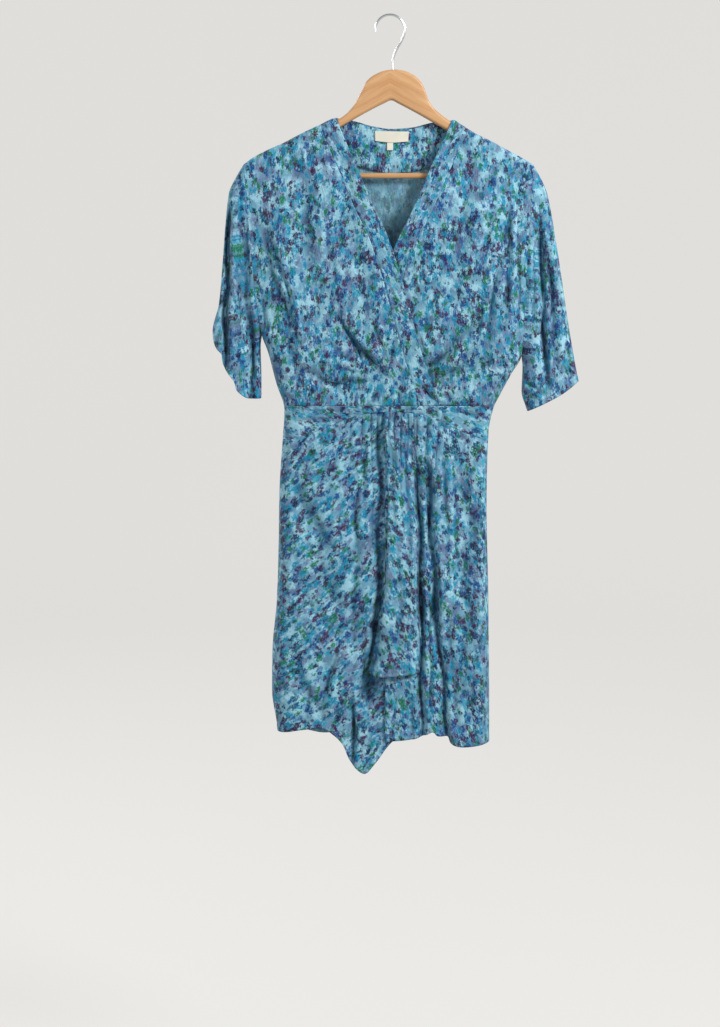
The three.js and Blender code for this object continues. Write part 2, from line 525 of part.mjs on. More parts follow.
function sleeve(name, edges, folds, side) {
  const out = -side.inward;
  const shifted = (points) => points.map((p) => ({ x: p.x + out * SEAM, z: p.z }));
  const heightAt = (t) => mix(side.top, side.armpit, t);
  const armhole = (t) => ({
    x: side.edge(heightAt(t)) + out * mix(SEAM, ARMPIT_CLEAR, ease(t * 2 - 0.6)), z: heightAt(t),
  });
  const inner = edges.inner.map((p) => ({ x: p.x + out * ARMPIT_CLEAR, z: p.z }));
  const outline = patch({
    top: armhole, bottom: path(shifted(edges.hem)), left: path(shifted(edges.outer)), right: path(inner),
  });
  const surface = (u, v) => {
    const front = u < 0.5;
    const turn = front ? u * 2 : (1 - u) * 2;
    const across = (1 - Math.cos(Math.PI * turn)) / 2;
    const { x, z } = outline(across, v);
    const hem = SLEEVE_HALF * superRound(across, 2.6);
    const half = mix(armholeHalf(side, heightAt(across)), hem, ease(v * 1.4));
    const hold = ease(v / 0.25) * ease(across / 0.12) * ease((1 - across) / 0.12);
    const pressed = foldDepth(folds, x, z) * hold;
    return new THREE.Vector3(x, front ? -half + pressed : half - pressed / 2, z);
  };
  return wall(name, printed, surface, {
    us: knots(28), vs: tightAtTop(11, 1.15), outward: out, ring: true,
    straighten: (normal, u, v) => {
      if (v === 0) plumb(normal);
    },
  });
}

// Waistband and skirt
function waistbands() {
  const top = straight({ x: leftX(WAIST_Z), z: WAIST_Z - SEAM }, { x: rightX(WAIST_Z), z: WAIST_Z - SEAM });
  const frontOutline = patch({
    top,
    bottom: alongArch(WAIST_ARCH[0].x, WAIST_ARCH[WAIST_ARCH.length - 1].x),
    left: alongSide(leftX, WAIST_Z - SEAM, BACK_WAIST_Z),
    right: alongSide(rightX, WAIST_Z - SEAM, BACK_WAIST_Z),
  });
  const backBand = patch({
    top,
    bottom: straight(
      { x: leftX(BACK_WAIST_Z), z: BACK_WAIST_Z },
      { x: rightX(BACK_WAIST_Z), z: BACK_WAIST_Z },
    ),
    left: alongSide(leftX, WAIST_Z - SEAM, BACK_WAIST_Z),
    right: alongSide(rightX, WAIST_Z - SEAM, BACK_WAIST_Z),
  });
  const us = knots(26, [0, 1], 0.06, 2);
  const bandY = (x, z) => halfGap(frontY(x, z), -1);
  const backBandY = (x, z) => halfGap(backY(x, z), 1);
  return [
    wall('waistband_front', printed, drape(frontOutline, bandY), {
      us, vs: knots(3), outward: -1, straighten: level,
    }),
    wall('waistband_back', printed, drape(backBand, backBandY), {
      us, vs: knots(2), outward: 1, straighten: level,
    }),
  ];
}
function skirtFronts() {
  const seamZ = (x) => archZ(x) - ARCH_SEAM;
  const topAlong = (x0, x1) => (t) => ({ x: mix(x0, x1, t), z: seamZ(mix(x0, x1, t)) });
  const endOf = (rows) => rows[rows.length - 1];
  const bottomLeft = path(LEFT_HEM);
  const leftTop = { x: leftX(BACK_WAIST_Z), z: BACK_WAIST_Z - ARCH_SEAM };
  const rightTop = { x: rightX(BACK_WAIST_Z), z: BACK_WAIST_Z - ARCH_SEAM };
  const leftOutline = patch({
    top: topAlong(leftTop.x, 12),
    bottom: bottomLeft,
    left: alongSide(leftX, leftTop.z, LEFT_HEM[0].z),
    right: straight({ x: 12, z: seamZ(12) }, endOf(LEFT_HEM)),
  });
  const rightOutline = patch({
    top: topAlong(-6, rightTop.x),
    bottom: path(RIGHT_HEM),
    left: straight({ x: -6, z: seamZ(-6) }, RIGHT_HEM[0]),
    right: alongSide(rightX, rightTop.z, endOf(RIGHT_HEM).z),
  });
  const flapOutline = patch({
    top: topAlong(FLAP_EDGE[0].x, FLAP_FOLD[0].x),
    bottom: path(FLAP_HEM),
    left: path([{ x: FLAP_EDGE[0].x, z: seamZ(FLAP_EDGE[0].x) }, ...FLAP_EDGE.slice(1)]),
    right: path([{ x: FLAP_FOLD[0].x, z: seamZ(FLAP_FOLD[0].x) }, ...FLAP_FOLD.slice(1)]),
  });
  // Each layer is gathered where it shows, and lies smooth behind the next one
  const leftShows = (x) => ease((FLAP_EDGE[0].x + 2 - x) / 10);
  const rightShows = (x) => ease((x - FLAP_FOLD[0].x) / 8);
  const leftY = (x, z) =>
    halfGap(skirtY(x, z) + gatherDepth(x, z) * leftShows(x) + LAYER * ease((x + 60) / 50), -1);
  const rightSeamY = (x, z) => halfGap(skirtY(x, z) + gatherDepth(x, z) * rightShows(x), -1);
  const fall = (z) => ease((FLAP_STAND.z - z) / FLAP_STAND.down);
  const nearFold = (x) => ease((FLAP_STAND.fold - x) / FLAP_STAND.over);
  const flapLift = (x, z) => LAYER + 1 + FLAP_STAND.more * fall(z) * nearFold(x);
  const flapY = (x, z) => skirtY(x, z) + gatherDepth(x, z) - flapLift(x, z);
  const ends = (normal, u, v) => {
    if (v === 0) level(normal);
  };
  return [
    wall('skirt_front_left', printed, drape(leftOutline, leftY), {
      us: twoSpacings(9, 22, 0.54), vs: knots(13, [0, 1], 0.15, 1), outward: -1, straighten: ends,
    }),
    wall('skirt_front_right', printed, drape(rightOutline, rightSeamY), {
      us: twoSpacings(28, 8, 0.64), vs: knots(13, [0], 0.15, 1), outward: -1, straighten: ends,
    }),
    wall('skirt_front_flap', printed, drape(flapOutline, flapY), {
      us: knots(13), vs: knots(12), outward: -1, straighten: ends,
    }),
  ];
}
function skirtBack() {
  const HEM_Z = -1072;
  const top = { left: BACK_WAIST_Z - SEAM, right: BACK_WAIST_Z - SEAM };
  const outline = patch({
    top: straight({ x: leftX(top.left), z: top.left }, { x: rightX(top.right), z: top.right }),
    bottom: path([
      { x: leftX(-1061), z: -1061 },
      { x: -90, z: HEM_Z },
      { x: 60, z: HEM_Z },
      { x: rightX(-1077), z: -1077 },
    ]),
    left: alongSide(leftX, top.left, -1061),
    right: alongSide(rightX, top.right, -1077),
  });
  return wall('skirt_back', printed, drape(outline, backSeamY), {
    us: knots(24, [0, 1], 0.08, 1.5), vs: knots(10), outward: 1,
    straighten: (normal, u, v) => {
      if (v === 0) level(normal);
    },
  });
}

// Hanger
const ARM_GAP = 1.2; // from the cloth's middle surface down to the wood's top
const BAR = { z: -229, radius: 4, half: 190, clear: 0.3 };
const HOOK = { wire: 1.7, loop: 21.5, stemX: 4.5, seat: -94 };
function solidOf(geometry) {
  const bare = geometry.clone();
  bare.deleteAttribute('normal');
  bare.deleteAttribute('uv');
  const merged = mergeVertices(bare, 1e-3);
  return new wasm.Manifold(
    new wasm.Mesh({
      numProp: 3,
      vertProperties: merged.getAttribute('position').array,
      triVerts: new Uint32Array(merged.getIndex().array),
    }),
  );
}
function meshOf(name, material, solid) {
  const made = solid.getMesh();
  const geometry = new THREE.BufferGeometry();
  geometry.setAttribute('position', new THREE.BufferAttribute(new Float32Array(made.vertProperties), 3));
  geometry.setIndex(new THREE.BufferAttribute(new Uint32Array(made.triVerts), 1));
  geometry.computeVertexNormals();
  const mesh = new THREE.Mesh(geometry, material);
  mesh.name = name;
  return mesh;
}
function rodAlongX(radius, x0, x1, z, sides) {
  const rod = new THREE.CylinderGeometry(radius, radius, x1 - x0, sides);
  rod.rotateZ(Math.PI / 2);
  return rod.translate((x0 + x1) / 2, 0, z);
}
function hangerBody() {
  const ROUND = 5; // rounding of the wood's edges
  const under = (x) => {
    const slope = (shoulderZ(x + 2) - shoulderZ(x - 2)) / 4;
    const inset = ARM_GAP / Math.hypot(1, slope);
    return { x: x + slope * inset, z: shoulderZ(x) - inset };
  };
  const rightArm = [205, 198, 190, 178, 164, 150, 136, 122, 109, 98].map(under);
  const dome = [
    { x: 90, z: -151.5 }, { x: 83, z: -147.5 }, { x: 76, z: -141.5 }, { x: 65, z: -131.5 },
    { x: 53, z: -115 }, { x: 44, z: -99 }, { x: 28, z: -84 }, { x: 4, z: -76 }, { x: -22, z: -85 },
    { x: -39, z: -107 }, { x: -53, z: -127 }, { x: -63, z: -138.5 }, { x: -70, z: -145 },
    { x: -76, z: -148.5 },
  ];
  const leftArm = [-86, -98, -112, -126, -140, -154, -168, -182, -194, -202, -208].map(under);
  const lower = [
    { x: -211, z: -221 }, { x: -208, z: -233 }, { x: -198, z: -239 }, { x: -186, z: -236 },
    { x: -151, z: -204 }, { x: -76, z: -161 }, { x: 2, z: -121 }, { x: 86, z: -165 },
    { x: 148, z: -199 }, { x: 182, z: -236 }, { x: 194, z: -239 }, { x: 204, z: -233 },
    { x: 207, z: -221 },
  ];
  const shape = new THREE.Shape();
  const outline = [...rightArm, ...dome, ...leftArm, ...lower];
  outline.forEach((p, i) => (i ? shape.lineTo(p.x, p.z) : shape.moveTo(p.x, p.z)));
  const slab = new THREE.ExtrudeGeometry(shape, {
    depth: 2 * (WOOD_HALF - ROUND),
    bevelEnabled: true,
    bevelThickness: ROUND,
    bevelSize: ROUND,
    bevelOffset: -ROUND,
    bevelSegments: 3,
  });
  slab.rotateX(Math.PI / 2);
  slab.translate(0, WOOD_HALF - ROUND, 0);
  const barHole = rodAlongX(BAR.radius + BAR.clear, -BAR.half - 1, BAR.half + 1, BAR.z, 16);
  const stemHole = new THREE.CylinderGeometry(HOOK.wire + BAR.clear, HOOK.wire + BAR.clear, 40, 12);
  stemHole.rotateX(Math.PI / 2);
  stemHole.translate(HOOK.stemX, 0, HOOK.seat - BAR.clear + 20);
  const wood = solidOf(slab).subtract(solidOf(barHole)).subtract(solidOf(stemHole));
  return meshOf('hanger_body', beech, wood);
}
function hangerBar() {
  const mesh = new THREE.Mesh(rodAlongX(BAR.radius, -BAR.half, BAR.half, BAR.z, 16), beech);
  mesh.name = 'hanger_bar';
  return mesh;
}
// The hook's wire: up out of the wood, out to the right, and round the loop over the peg
function hangerHook() {
  const centreZ = HOOK.wire - HOOK.loop;
  const loopPoint = (degrees) => {
    const a = (degrees * Math.PI) / 180;
    return new THREE.Vector3(HOOK.loop * Math.cos(a), 0, centreZ + HOOK.loop * Math.sin(a));
  };
  const stem = [HOOK.seat, -76, -62].map((z) => new THREE.Vector3(HOOK.stemX, 0, z));
  const swan = [new THREE.Vector3(9.5, 0, -48), new THREE.Vector3(16.5, 0, -36)];
  const loop = [-12, 15, 45, 75, 105, 135, 165, 188].map(loopPoint);
  const route = new THREE.CatmullRomCurve3([...stem, ...swan, ...loop], false, 'centripetal');
  const section = new THREE.Shape().absarc(0, 0, HOOK.wire, 0, 2 * Math.PI, false);
  const geometry = new THREE.ExtrudeGeometry(section, {
    steps: 44, bevelEnabled: false, extrudePath: route, curveSegments: 4,
  });
  const mesh = new THREE.Mesh(geometry, steel);
  mesh.name = 'hanger_hook';
  return mesh;
}

const dress = new THREE.Group();
dress.add(...bodiceFronts(), bodiceBack(), backFacing());
dress.add(neckPatch('neck_label', LABEL), neckPatch('size_tab', SIZE_TAB));
dress.add(sleeve('sleeve_left', LEFT_SLEEVE, LEFT_SLEEVE_FOLDS, SIDES[0]));
dress.add(sleeve('sleeve_right', RIGHT_SLEEVE, RIGHT_SLEEVE_FOLDS, SIDES[1]));
dress.add(...waistbands(), ...skirtFronts(), skirtBack());
const hanger = new THREE.Group();
hanger.add(hangerBody(), hangerBar(), hangerHook());
const part = new THREE.Group();
part.add(dress, hanger);
export default part;
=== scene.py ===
"""The looks of a printed wrap dress on its wooden hanger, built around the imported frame.

Every cloth piece is a thin closed shell on the form of its solid. Lengths in the tables are millimetres,
+X is to the right of someone who faces the front, -Y is the front and +Z is up.
"""
import math

import bpy
import numpy as np
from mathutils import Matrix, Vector


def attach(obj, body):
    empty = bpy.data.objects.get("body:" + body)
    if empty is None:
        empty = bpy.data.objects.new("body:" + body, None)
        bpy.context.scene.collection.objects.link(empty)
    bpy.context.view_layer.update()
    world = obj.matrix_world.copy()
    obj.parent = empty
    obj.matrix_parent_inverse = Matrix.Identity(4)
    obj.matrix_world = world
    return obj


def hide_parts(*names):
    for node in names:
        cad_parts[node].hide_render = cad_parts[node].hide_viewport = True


bl_info = {
    "name": "Wrap Dress on a Hanger",
    "version": (1, 0, 0),
    "blender": (4, 5, 0),
    "location": "View3D > Sidebar > Dress",
    "description": "Builds a printed wrap dress with its creases, gathers and stitches on a wooden hanger",
    "category": "Object",
}

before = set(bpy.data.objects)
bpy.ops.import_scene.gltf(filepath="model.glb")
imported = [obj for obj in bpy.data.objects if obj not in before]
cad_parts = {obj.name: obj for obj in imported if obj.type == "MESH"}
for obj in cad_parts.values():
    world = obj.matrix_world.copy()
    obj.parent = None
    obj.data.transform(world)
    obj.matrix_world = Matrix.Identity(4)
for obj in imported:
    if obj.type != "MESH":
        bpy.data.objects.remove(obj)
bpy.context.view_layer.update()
MM = 0.001

# Driving sizes, the same as the solids', and those of the finer parts
SEAM = 0.01
LAYER = 3.0
INNER_LAYER = 1.9
RIDGE = 8.0
SHOULDER_COS = 0.9
SHOULDER_DROP = 110.0
SIDE_ROUND = 24.0
ARMHOLE_BLEND = 46.0
ARMHOLE_HALF = 14.0
ARMPIT_CLEAR = 0.4
NECK_HALF = 9.8
NECK_TURN = 8.0
BAND_WIDTH = 27.0
WAIST_Z = -566.0
BACK_WAIST_Z = -619.0
SLEEVE_HALF = 19.0
SHOULDER_END_Z = -213.0
SHOULDER_LEFT_X = -214.0
SHOULDER_RIGHT_X = 210.0
LEFT_ARMPIT_Z = -462.0
RIGHT_ARMPIT_Z = -492.0
BACK_CREASES_OUT = 9
BINDING_HALF = (1.35, 1.5)
BOARD_HALF = 6.0
BOARD_ROUND = 5.0
# The photograph's focal length and height in pixels, and the sensor's height in millimetres
PHOTO_FOCAL = 2000
PHOTO_HEIGHT = 1027
SENSOR = 36

# Columns z, x
LEFT_SIDE = (
    (-213, -214), (-300, -207), (-380, -200), (-462, -189), (-487, -180), (-533, -168), (-574, -156),
    (-619, -159), (-694, -164), (-785, -166), (-861, -169), (-938, -176), (-1000, -177), (-1061, -169),
    (-1140, -166),
)
RIGHT_SIDE = (
    (-213, 210), (-300, 205), (-400, 200), (-492, 196), (-520, 181), (-550, 165), (-571, 155), (-607, 148),
    (-700, 146), (-861, 150), (-1077, 153), (-1140, 153),
)
# Columns x, z
LEFT_NECK = (-77, -146)
RIGHT_NECK = (91, -149)
SHOULDER = (
    (-214, -213), (-202, -204), (-181, -193), (-152, -180), (-133, -170), (-105, -157), (-77, -146),
    (-51, -151), (-26, -158), (2, -162), (32, -160), (62, -153), (91, -149), (107, -157), (125, -168),
    (150, -180), (172, -192), (195, -204), (210, -213),
)
OVER_EDGE = (
    (-77, -146), (-72, -162), (-63, -183), (-45, -224), (-26, -269), (-4, -315), (16, -374), (32, -433),
    (47, -487), (73, -566),
)
UNDER_EDGE = (
    (91, -149), (84, -165), (74, -187), (59, -219), (34, -277), (5, -337), (-12, -390), (-32, -470),
    (-51, -566),
)
WAIST_ARCH = (
    (-158.5, -619), (-120, -608), (-88, -596), (-66, -586.5), (-46, -579.5), (-26, -576), (0, -575),
    (28, -576), (48, -579), (64, -585), (83, -593.5), (120, -609), (147.5, -619),
)
LEFT_HEM = (
    (-169, -1061), (-135, -1055), (-102, -1052), (-83, -1063), (-70, -1077), (-57, -1105), (-37, -1122),
    (-21, -1107), (-2, -1081), (12, -1066),
)
RIGHT_HEM = (
    (-6, -1074), (5, -1072), (34, -1069), (56, -1063), (66, -1058), (74, -1064), (89, -1065), (94, -1075),
    (112, -1080), (153, -1077),
)
FLAP_EDGE = ((-7, -575.5), (-2, -709), (-3, -777), (-7, -846), (-16, -892), (-25, -938), (-31, -966))
FLAP_HEM = ((-31, -966), (-16, -972), (3, -971), (25, -969), (46, -966))
FLAP_FOLD = ((35, -576), (41, -690), (45, -861), (46, -966))
BACK_HEM_Z = (-1061, -1077)
# Columns z, front, back: half depths of the body at its middle
BODY_DEPTH = (
    (-140, 11, 10), (-230, 19, 14), (-330, 26, 17), (-450, 26, 18), (-566, 20, 16), (-620, 20, 17),
    (-760, 25, 21), (-950, 31, 25), (-1140, 35, 29),
)
# The edges of each sleeve. Columns x, z
LEFT_SLEEVE = {
    "outer": (
        (-214, -213), (-229, -238), (-236, -255), (-241, -296), (-247, -366), (-252, -415), (-262, -458),
        (-260, -473),
    ),
    "inner": ((-189, -462), (-191, -480), (-190, -532), (-191, -556)),
    "hem": (
        (-260, -473), (-256, -481), (-248.5, -490), (-246.5, -493), (-246, -505), (-244.5, -509), (-233, -526),
        (-229.5, -531), (-227, -541), (-222.5, -547), (-209, -555.5), (-204, -556), (-191, -556),
    ),
}
RIGHT_SLEEVE = {
    "outer": (
        (210, -213), (224, -238), (231, -255), (240, -297), (252, -366), (264, -440), (272, -485), (281, -530),
    ),
    "inner": ((196, -492), (198, -510), (197, -545), (206, -575)),
    "hem": ((281, -530), (257, -548), (232, -562), (206, -575)),
}
# The hanger's board from end to end. Columns x, z
HANGER_TOP = (
    (-212, -222), (-210.5, -214), (-206, -207.5), (-194, -201), (-180, -194), (-152, -181), (-120, -165),
    (-90, -151.5), (-76, -147.5), (-63, -139), (-52, -126), (-42, -108), (-34, -93), (-22, -83.5), (-8, -78),
    (6, -76.2), (21, -78.2), (34, -84), (44, -92.5), (50.5, -103), (56, -119), (65, -132), (77, -142.5),
    (91, -151.5), (108, -158.5), (124, -168.5), (150, -181.5), (180, -197.5), (200, -208), (205.5, -213.5),
    (208, -222),
)
HANGER_UNDER = (
    (-212, -222), (-208.5, -233), (-198, -239), (-186, -236), (-151, -204), (-76, -161), (-8, -124.5),
    (2, -120.5), (12, -125), (86, -165), (148, -199), (182, -236), (194, -239), (204.5, -233), (208, -222),
)
# Corners of the label and of the size tab, from the left. Columns x, z
LABEL_TOP = ((-22, -164.4), (28, -165))
LABEL_FOOT = ((-21.5, -178.5), (3, -181), (27, -179.5))
TAB_TOP = ((-4, -180.9), (5, -180.9))
TAB_FOOT = ((-4, -192), (5, -192))

# The large folds of the solids. Columns x0, z0, x1, z1, width, depth, lift, side
BODICE_FOLDS = (
    (-179, -333, -136, -505, 9, 4, 3, 1), (-132, -200, -104, -410, 16, 3, 0, 1),
    (-66, -210, -25, -440, 14, 2.5, 0, 1), (-78, -437, -18, -508, 12, 3.5, 0, 1),
    (-104, -524, -20, -521, 12, 3, 0, 1), (60, -510, 125, -448, 11, 4, 0, 1),
    (66, -530, 140, -500, 11, 3, 0, 1), (164, -350, 142, -497, 9, 4, 2, -1),
    (176, -300, 172, -440, 9, 4, 0, 1), (120, -210, 96, -400, 14, 2.5, 0, 1),
)
SKIRT_FOLDS = (
    (-35, -630, -38, -700, 5, 5, 0, 1), (-15, -625, -16, -880, 8, 8, 0, 1),
    (-21, -900, -30, -1005, 11, 8, 0, 1), (31, -590, 36, -650, 5, 5, 0, 1),
    (42, -670, 48, -861, 6, 8, 0, 1), (48, -861, 49, -1100, 6, 8, 0, 1),
    (59, -670, 70, -860, 6, 8, 6, 1), (70, -860, 93, -1100, 6, 8, 6, 1), (-46, -718, -53, -915, 6, 4, 0, 1),
    (-55, -1010, -54, -1130, 6, 4, 2, 1), (-80, -940, -100, -1020, 6, 3, 3, 1),
    (-130, -660, -78, -860, 18, 3, 0, 1), (120, -690, 116, -1000, 15, 4, 0, 1),
)
BACK_FOLDS = (
    (-120, -230, -60, -520, 16, 4, 0, 1), (110, -240, 70, -540, 14, 4, 0, 1),
    (8, -260, -4, -520, 18, 3, 0, 1), (-90, -650, -104, -1150, 16, 7, 0, 1),
    (-20, -640, -26, -1150, 14, 6, 0, 1),
    (48, -650, 56, -1150, 15, 7, 0, 1), (105, -700, 112, -1150, 13, 5, 0, 1),
)
LEFT_SLEEVE_FOLDS = (
    (-237, -290, -241, -410, 6, 9, 0, 1), (-241, -410, -244, -520, 6, 9, 0, 1),
    (-214, -330, -202, -560, 6, 6, 0, 1),
)
RIGHT_SLEEVE_FOLDS = ((221, -300, 232, -520, 6, 6, 0, 1), (231, -345, 249, -500, 6, 5, 0, 1))

# Finer creases, given one by one. Columns x0, z0, x1, z1, bow, width, depth, ridge, side
FRONT_CREASES = (
    (-181, -300, -131, -505, 7, 3.6, 2.6, 1.6, 1), (-170, -366, -146, -470, 5, 3.0, 1.6, 1.2, 1),
    (-156, -238, -141, -352, 4, 6.0, 1.1, 0.8, -1), (-120, -236, -112, -372, -4, 7.0, 1.2, 0.8, 1),
    (-92, -300, -84, -424, 3, 5.0, 1.0, 0.7, 1), (-62, -330, -30, -452, 4, 5.0, 1.2, 0.8, -1),
    (-78, -430, -6, -511, -7, 3.6, 2.8, 1.6, 1), (-58, -455, -12, -512, -4, 3.0, 2.2, 1.4, 1),
    (-104, -462, -22, -516, -6, 4.0, 2.0, 1.2, -1), (-52, -478, -28, -510, -2, 2.6, 1.8, 1.0, -1),
    (-118, -520, -14, -519, 5, 4.5, 2.0, 1.4, -1), (-96, -541, -12, -527, 4, 3.8, 1.8, 1.2, 1),
    (-30, -430, -2, -505, 3, 3.4, 1.8, 1.2, 1), (-12, -448, 2, -508, 2, 2.8, 1.6, 1.0, -1),
    (12, -452, 4, -506, -2, 2.8, 1.6, 1.0, 1), (30, -452, 10, -508, -4, 3.2, 1.8, 1.1, -1),
    (-189, -400, -184, -486, 2, 3.0, 1.8, 1.2, 1), (-143, -504, -60, -556, 6, 4.5, 1.6, 1.0, 1),
    (-12, -536, -30, -564, 2, 2.8, 1.6, 1.0, 1), (8, -530, 12, -566, 2, 3.0, 1.8, 1.2, -1),
    (163, -352, 141, -499, -5, 3.6, 3.0, 1.8, -1), (171, -360, 173, -436, 2, 3.0, 2.2, 1.4, 1),
    (131, -412, 117, -468, -3, 3.8, 1.6, 1.0, -1), (90, -482, 46, -509, 4, 3.0, 2.6, 1.6, -1),
    (112, -470, 30, -516, 7, 4.0, 2.0, 1.2, 1), (44, -458, 54, -494, 0, 2.0, 1.8, 0.8, 1),
    (128, -500, 40, -523, 6, 4.4, 1.8, 1.2, 1), (50, -536, 77, -563, -3, 2.6, 2.8, 1.4, 1),
    (77, -562, 78, -604, 1, 2.6, 2.6, 1.4, -1), (66, -548, 96, -561, 2, 2.6, 1.8, 1.0, -1),
    (181, -513, 146, -592, 4, 3.0, 2.4, 1.4, 1), (170, -512, 137, -580, 5, 3.2, 2.2, 1.2, -1),
    (184, -252, 187, -398, 2, 3.0, 1.8, 1.2, -1), (175, -262, 179, -350, -2, 3.0, 1.4, 1.0, 1),
    (190, -330, 190, -470, 1, 2.6, 1.6, 1.0, 1), (150, -268, 143, -352, -3, 5.0, 1.1, 0.8, 1),
    (112, -248, 104, -360, 3, 6.0, 1.1, 0.8, -1), (84, -300, 74, -420, -4, 6.0, 1.1, 0.8, 1),
    (62, -372, 58, -446, 2, 4.4, 1.0, 0.8, -1), (-146, -592, -84, -584, 3, 3.4, 1.4, 1.0, 1),
    (-128, -577, -58, -573, -2, 3.0, 1.3, 0.9, -1), (92, -577, 143, -583, 2, 3.2, 1.4, 1.0, 1),
    (98, -594, 142, -604, -2, 3.2, 1.2, 0.9, -1), (-50, -640, -55, -806, 3, 3.6, 1.8, 1.2, 1),
    (-27, -600, -27, -815, 2, 3.0, 2.0, 1.4, -1), (5, -592, 9, -770, -2, 3.6, 1.8, 1.2, 1),
    (20, -600, 26, -752, 2, 3.2, 1.8, 1.2, -1), (14, -760, 18, -958, 2, 6.0, 1.4, 1.0, 1),
    (31, -700, 34, -900, -2, 4.0, 1.6, 1.2, 1), (53, -640, 58, -820, 2, 3.2, 2.2, 1.6, -1),
    (58, -800, 61, -1070, 2, 3.2, 2.6, 1.8, -1), (76, -620, 88, -806, 3, 4.4, 2.0, 1.4, 1),
    (100, -620, 104, -842, -3, 6.0, 1.8, 1.2, -1), (126, -630, 131, -880, 3, 7.0, 1.5, 1.0, 1),
    (82, -850, 106, -1090, 4, 5.0, 2.2, 1.4, 1), (132, -860, 129, -1090, -3, 6.0, 1.6, 1.0, -1),
    (36, -1000, 30, -1080, 2, 4.0, 1.8, 1.2, 1), (8, -985, 4, -1080, 2, 4.0, 1.8, 1.2, -1),
    (-146, -668, -64, -800, -8, 8.0, 1.6, 1.0, 1), (-150, -780, -70, -930, -9, 8.0, 1.5, 1.0, -1),
    (-150, -906, -96, -1040, -6, 7.0, 1.8, 1.2, 1), (-77, -940, -96, -1012, -3, 4.0, 2.2, 2.0, 1),
    (-53, -1008, -53, -1118, 1, 2.8, 2.4, 1.8, 1), (-36, -870, -43, -1000, 3, 4.0, 2.2, 1.4, 1),
    (-30, -1010, -34, -1100, 1, 4.4, 1.6, 1.2, -1), (-120, -980, -128, -1058, 2, 5.0, 1.6, 1.2, 1),
)
BACK_CREASES = (
    (-170, -260, -150, -420, 5, 5.0, 1.8, 1.2, 1), (-140, -250, -96, -480, 6, 6.0, 2.0, 1.4, -1),
    (-60, -230, -34, -440, 4, 7.0, 1.6, 1.1, 1), (0, -240, -6, -470, 3, 7.0, 1.5, 1.0, -1),
    (60, -236, 40, -460, -4, 7.0, 1.6, 1.1, 1), (150, -246, 112, -470, -6, 6.0, 2.0, 1.4, 1),
    (176, -280, 160, -440, -4, 4.6, 1.8, 1.2, -1), (-120, -470, -30, -548, -6, 4.4, 1.8, 1.2, 1),
    (120, -476, 36, -546, 6, 4.4, 1.8, 1.2, -1), (-20, -480, -16, -556, 1, 3.6, 1.4, 1.0, 1),
    (28, -486, 22, -556, 1, 3.6, 1.4, 1.0, -1), (-130, -630, -142, -900, -4, 7.0, 2.0, 1.4, 1),
    (-104, -626, -112, -860, 3, 4.6, 2.0, 1.4, -1), (-60, -630, -66, -980, -3, 6.0, 2.4, 1.6, 1),
    (-36, -626, -38, -800, 2, 4.0, 1.8, 1.2, -1), (-2, -628, 2, -940, 3, 6.0, 2.2, 1.4, 1),
    (30, -626, 32, -820, -2, 4.4, 1.8, 1.2, -1), (70, -630, 80, -1000, 4, 6.0, 2.4, 1.6, 1),
    (92, -626, 98, -820, 2, 4.4, 1.8, 1.2, -1), (128, -640, 134, -930, 3, 6.0, 1.8, 1.2, 1),
)
LEFT_SLEEVE_CREASES = (
    (-235, -262, -241, -400, 2, 3.2, 4.5, 2.2, 1), (-241, -400, -243, -500, 0, 3.2, 5.0, 2.2, 1),
    (-249, -300, -254, -452, 1, 3.4, 1.6, 1.2, -1), (-211, -272, -207, -400, 2, 3.4, 2.6, 1.8, 1),
    (-206, -396, -199, -548, 1, 3.0, 3.0, 2.0, 1), (-222, -330, -224, -500, 2, 4.6, 1.6, 1.2, 1),
    (-226, -238, -214, -268, 2, 3.6, 1.4, 1.0, 1), (-216, -500, -214, -546, 1, 4.0, 1.8, 1.2, -1),
)
RIGHT_SLEEVE_CREASES = (
    (220, -292, 224, -430, 2, 3.2, 3.2, 2.0, 1), (224, -420, 234, -530, 1, 3.0, 3.2, 2.0, 1),
    (231, -340, 243, -460, 1, 3.4, 2.6, 1.8, -1), (212, -300, 210, -470, 1, 3.4, 2.0, 1.4, -1),
    (222, -244, 229, -272, 2, 2.8, 1.8, 1.2, 1), (236, -244, 229, -272, -2, 2.8, 1.6, 1.2, -1),
    (246, -330, 258, -470, -2, 5.0, 1.6, 1.2, 1), (198, -531, 232, -555, 3, 3.0, 2.6, 1.6, -1),
    (262, -470, 266, -538, 1, 4.0, 1.8, 1.2, 1), (240, -480, 246, -552, 1, 4.0, 1.6, 1.2, -1),
)
GATHERS = {"left": -66.0, "right": 84.0, "pitch": 11.0, "depth": 2.3, "length": 150.0, "edge": 20.0}


# Small mathematics on whole arrays
def clamp01(t):
    return np.clip(t, 0.0, 1.0)


def mix(a, b, t):
    return a + (b - a) * t


def ease(t):
    """3 t squared less 2 t cubed, held between 0 and 1"""
    t = clamp01(t)
    return t * t * (3 - 2 * t)


def quarter_round(t):
    """The height of a quarter circle at the share t of its radius"""
    t = clamp01(t)
    return np.sqrt(t * (2 - t))


def super_round(t, power):
    """The height of a squared-off half circle over t from 0 to 1; a larger power makes it squarer"""
    return np.sqrt(np.maximum(1 - np.abs(2 * t - 1) ** power, 0))


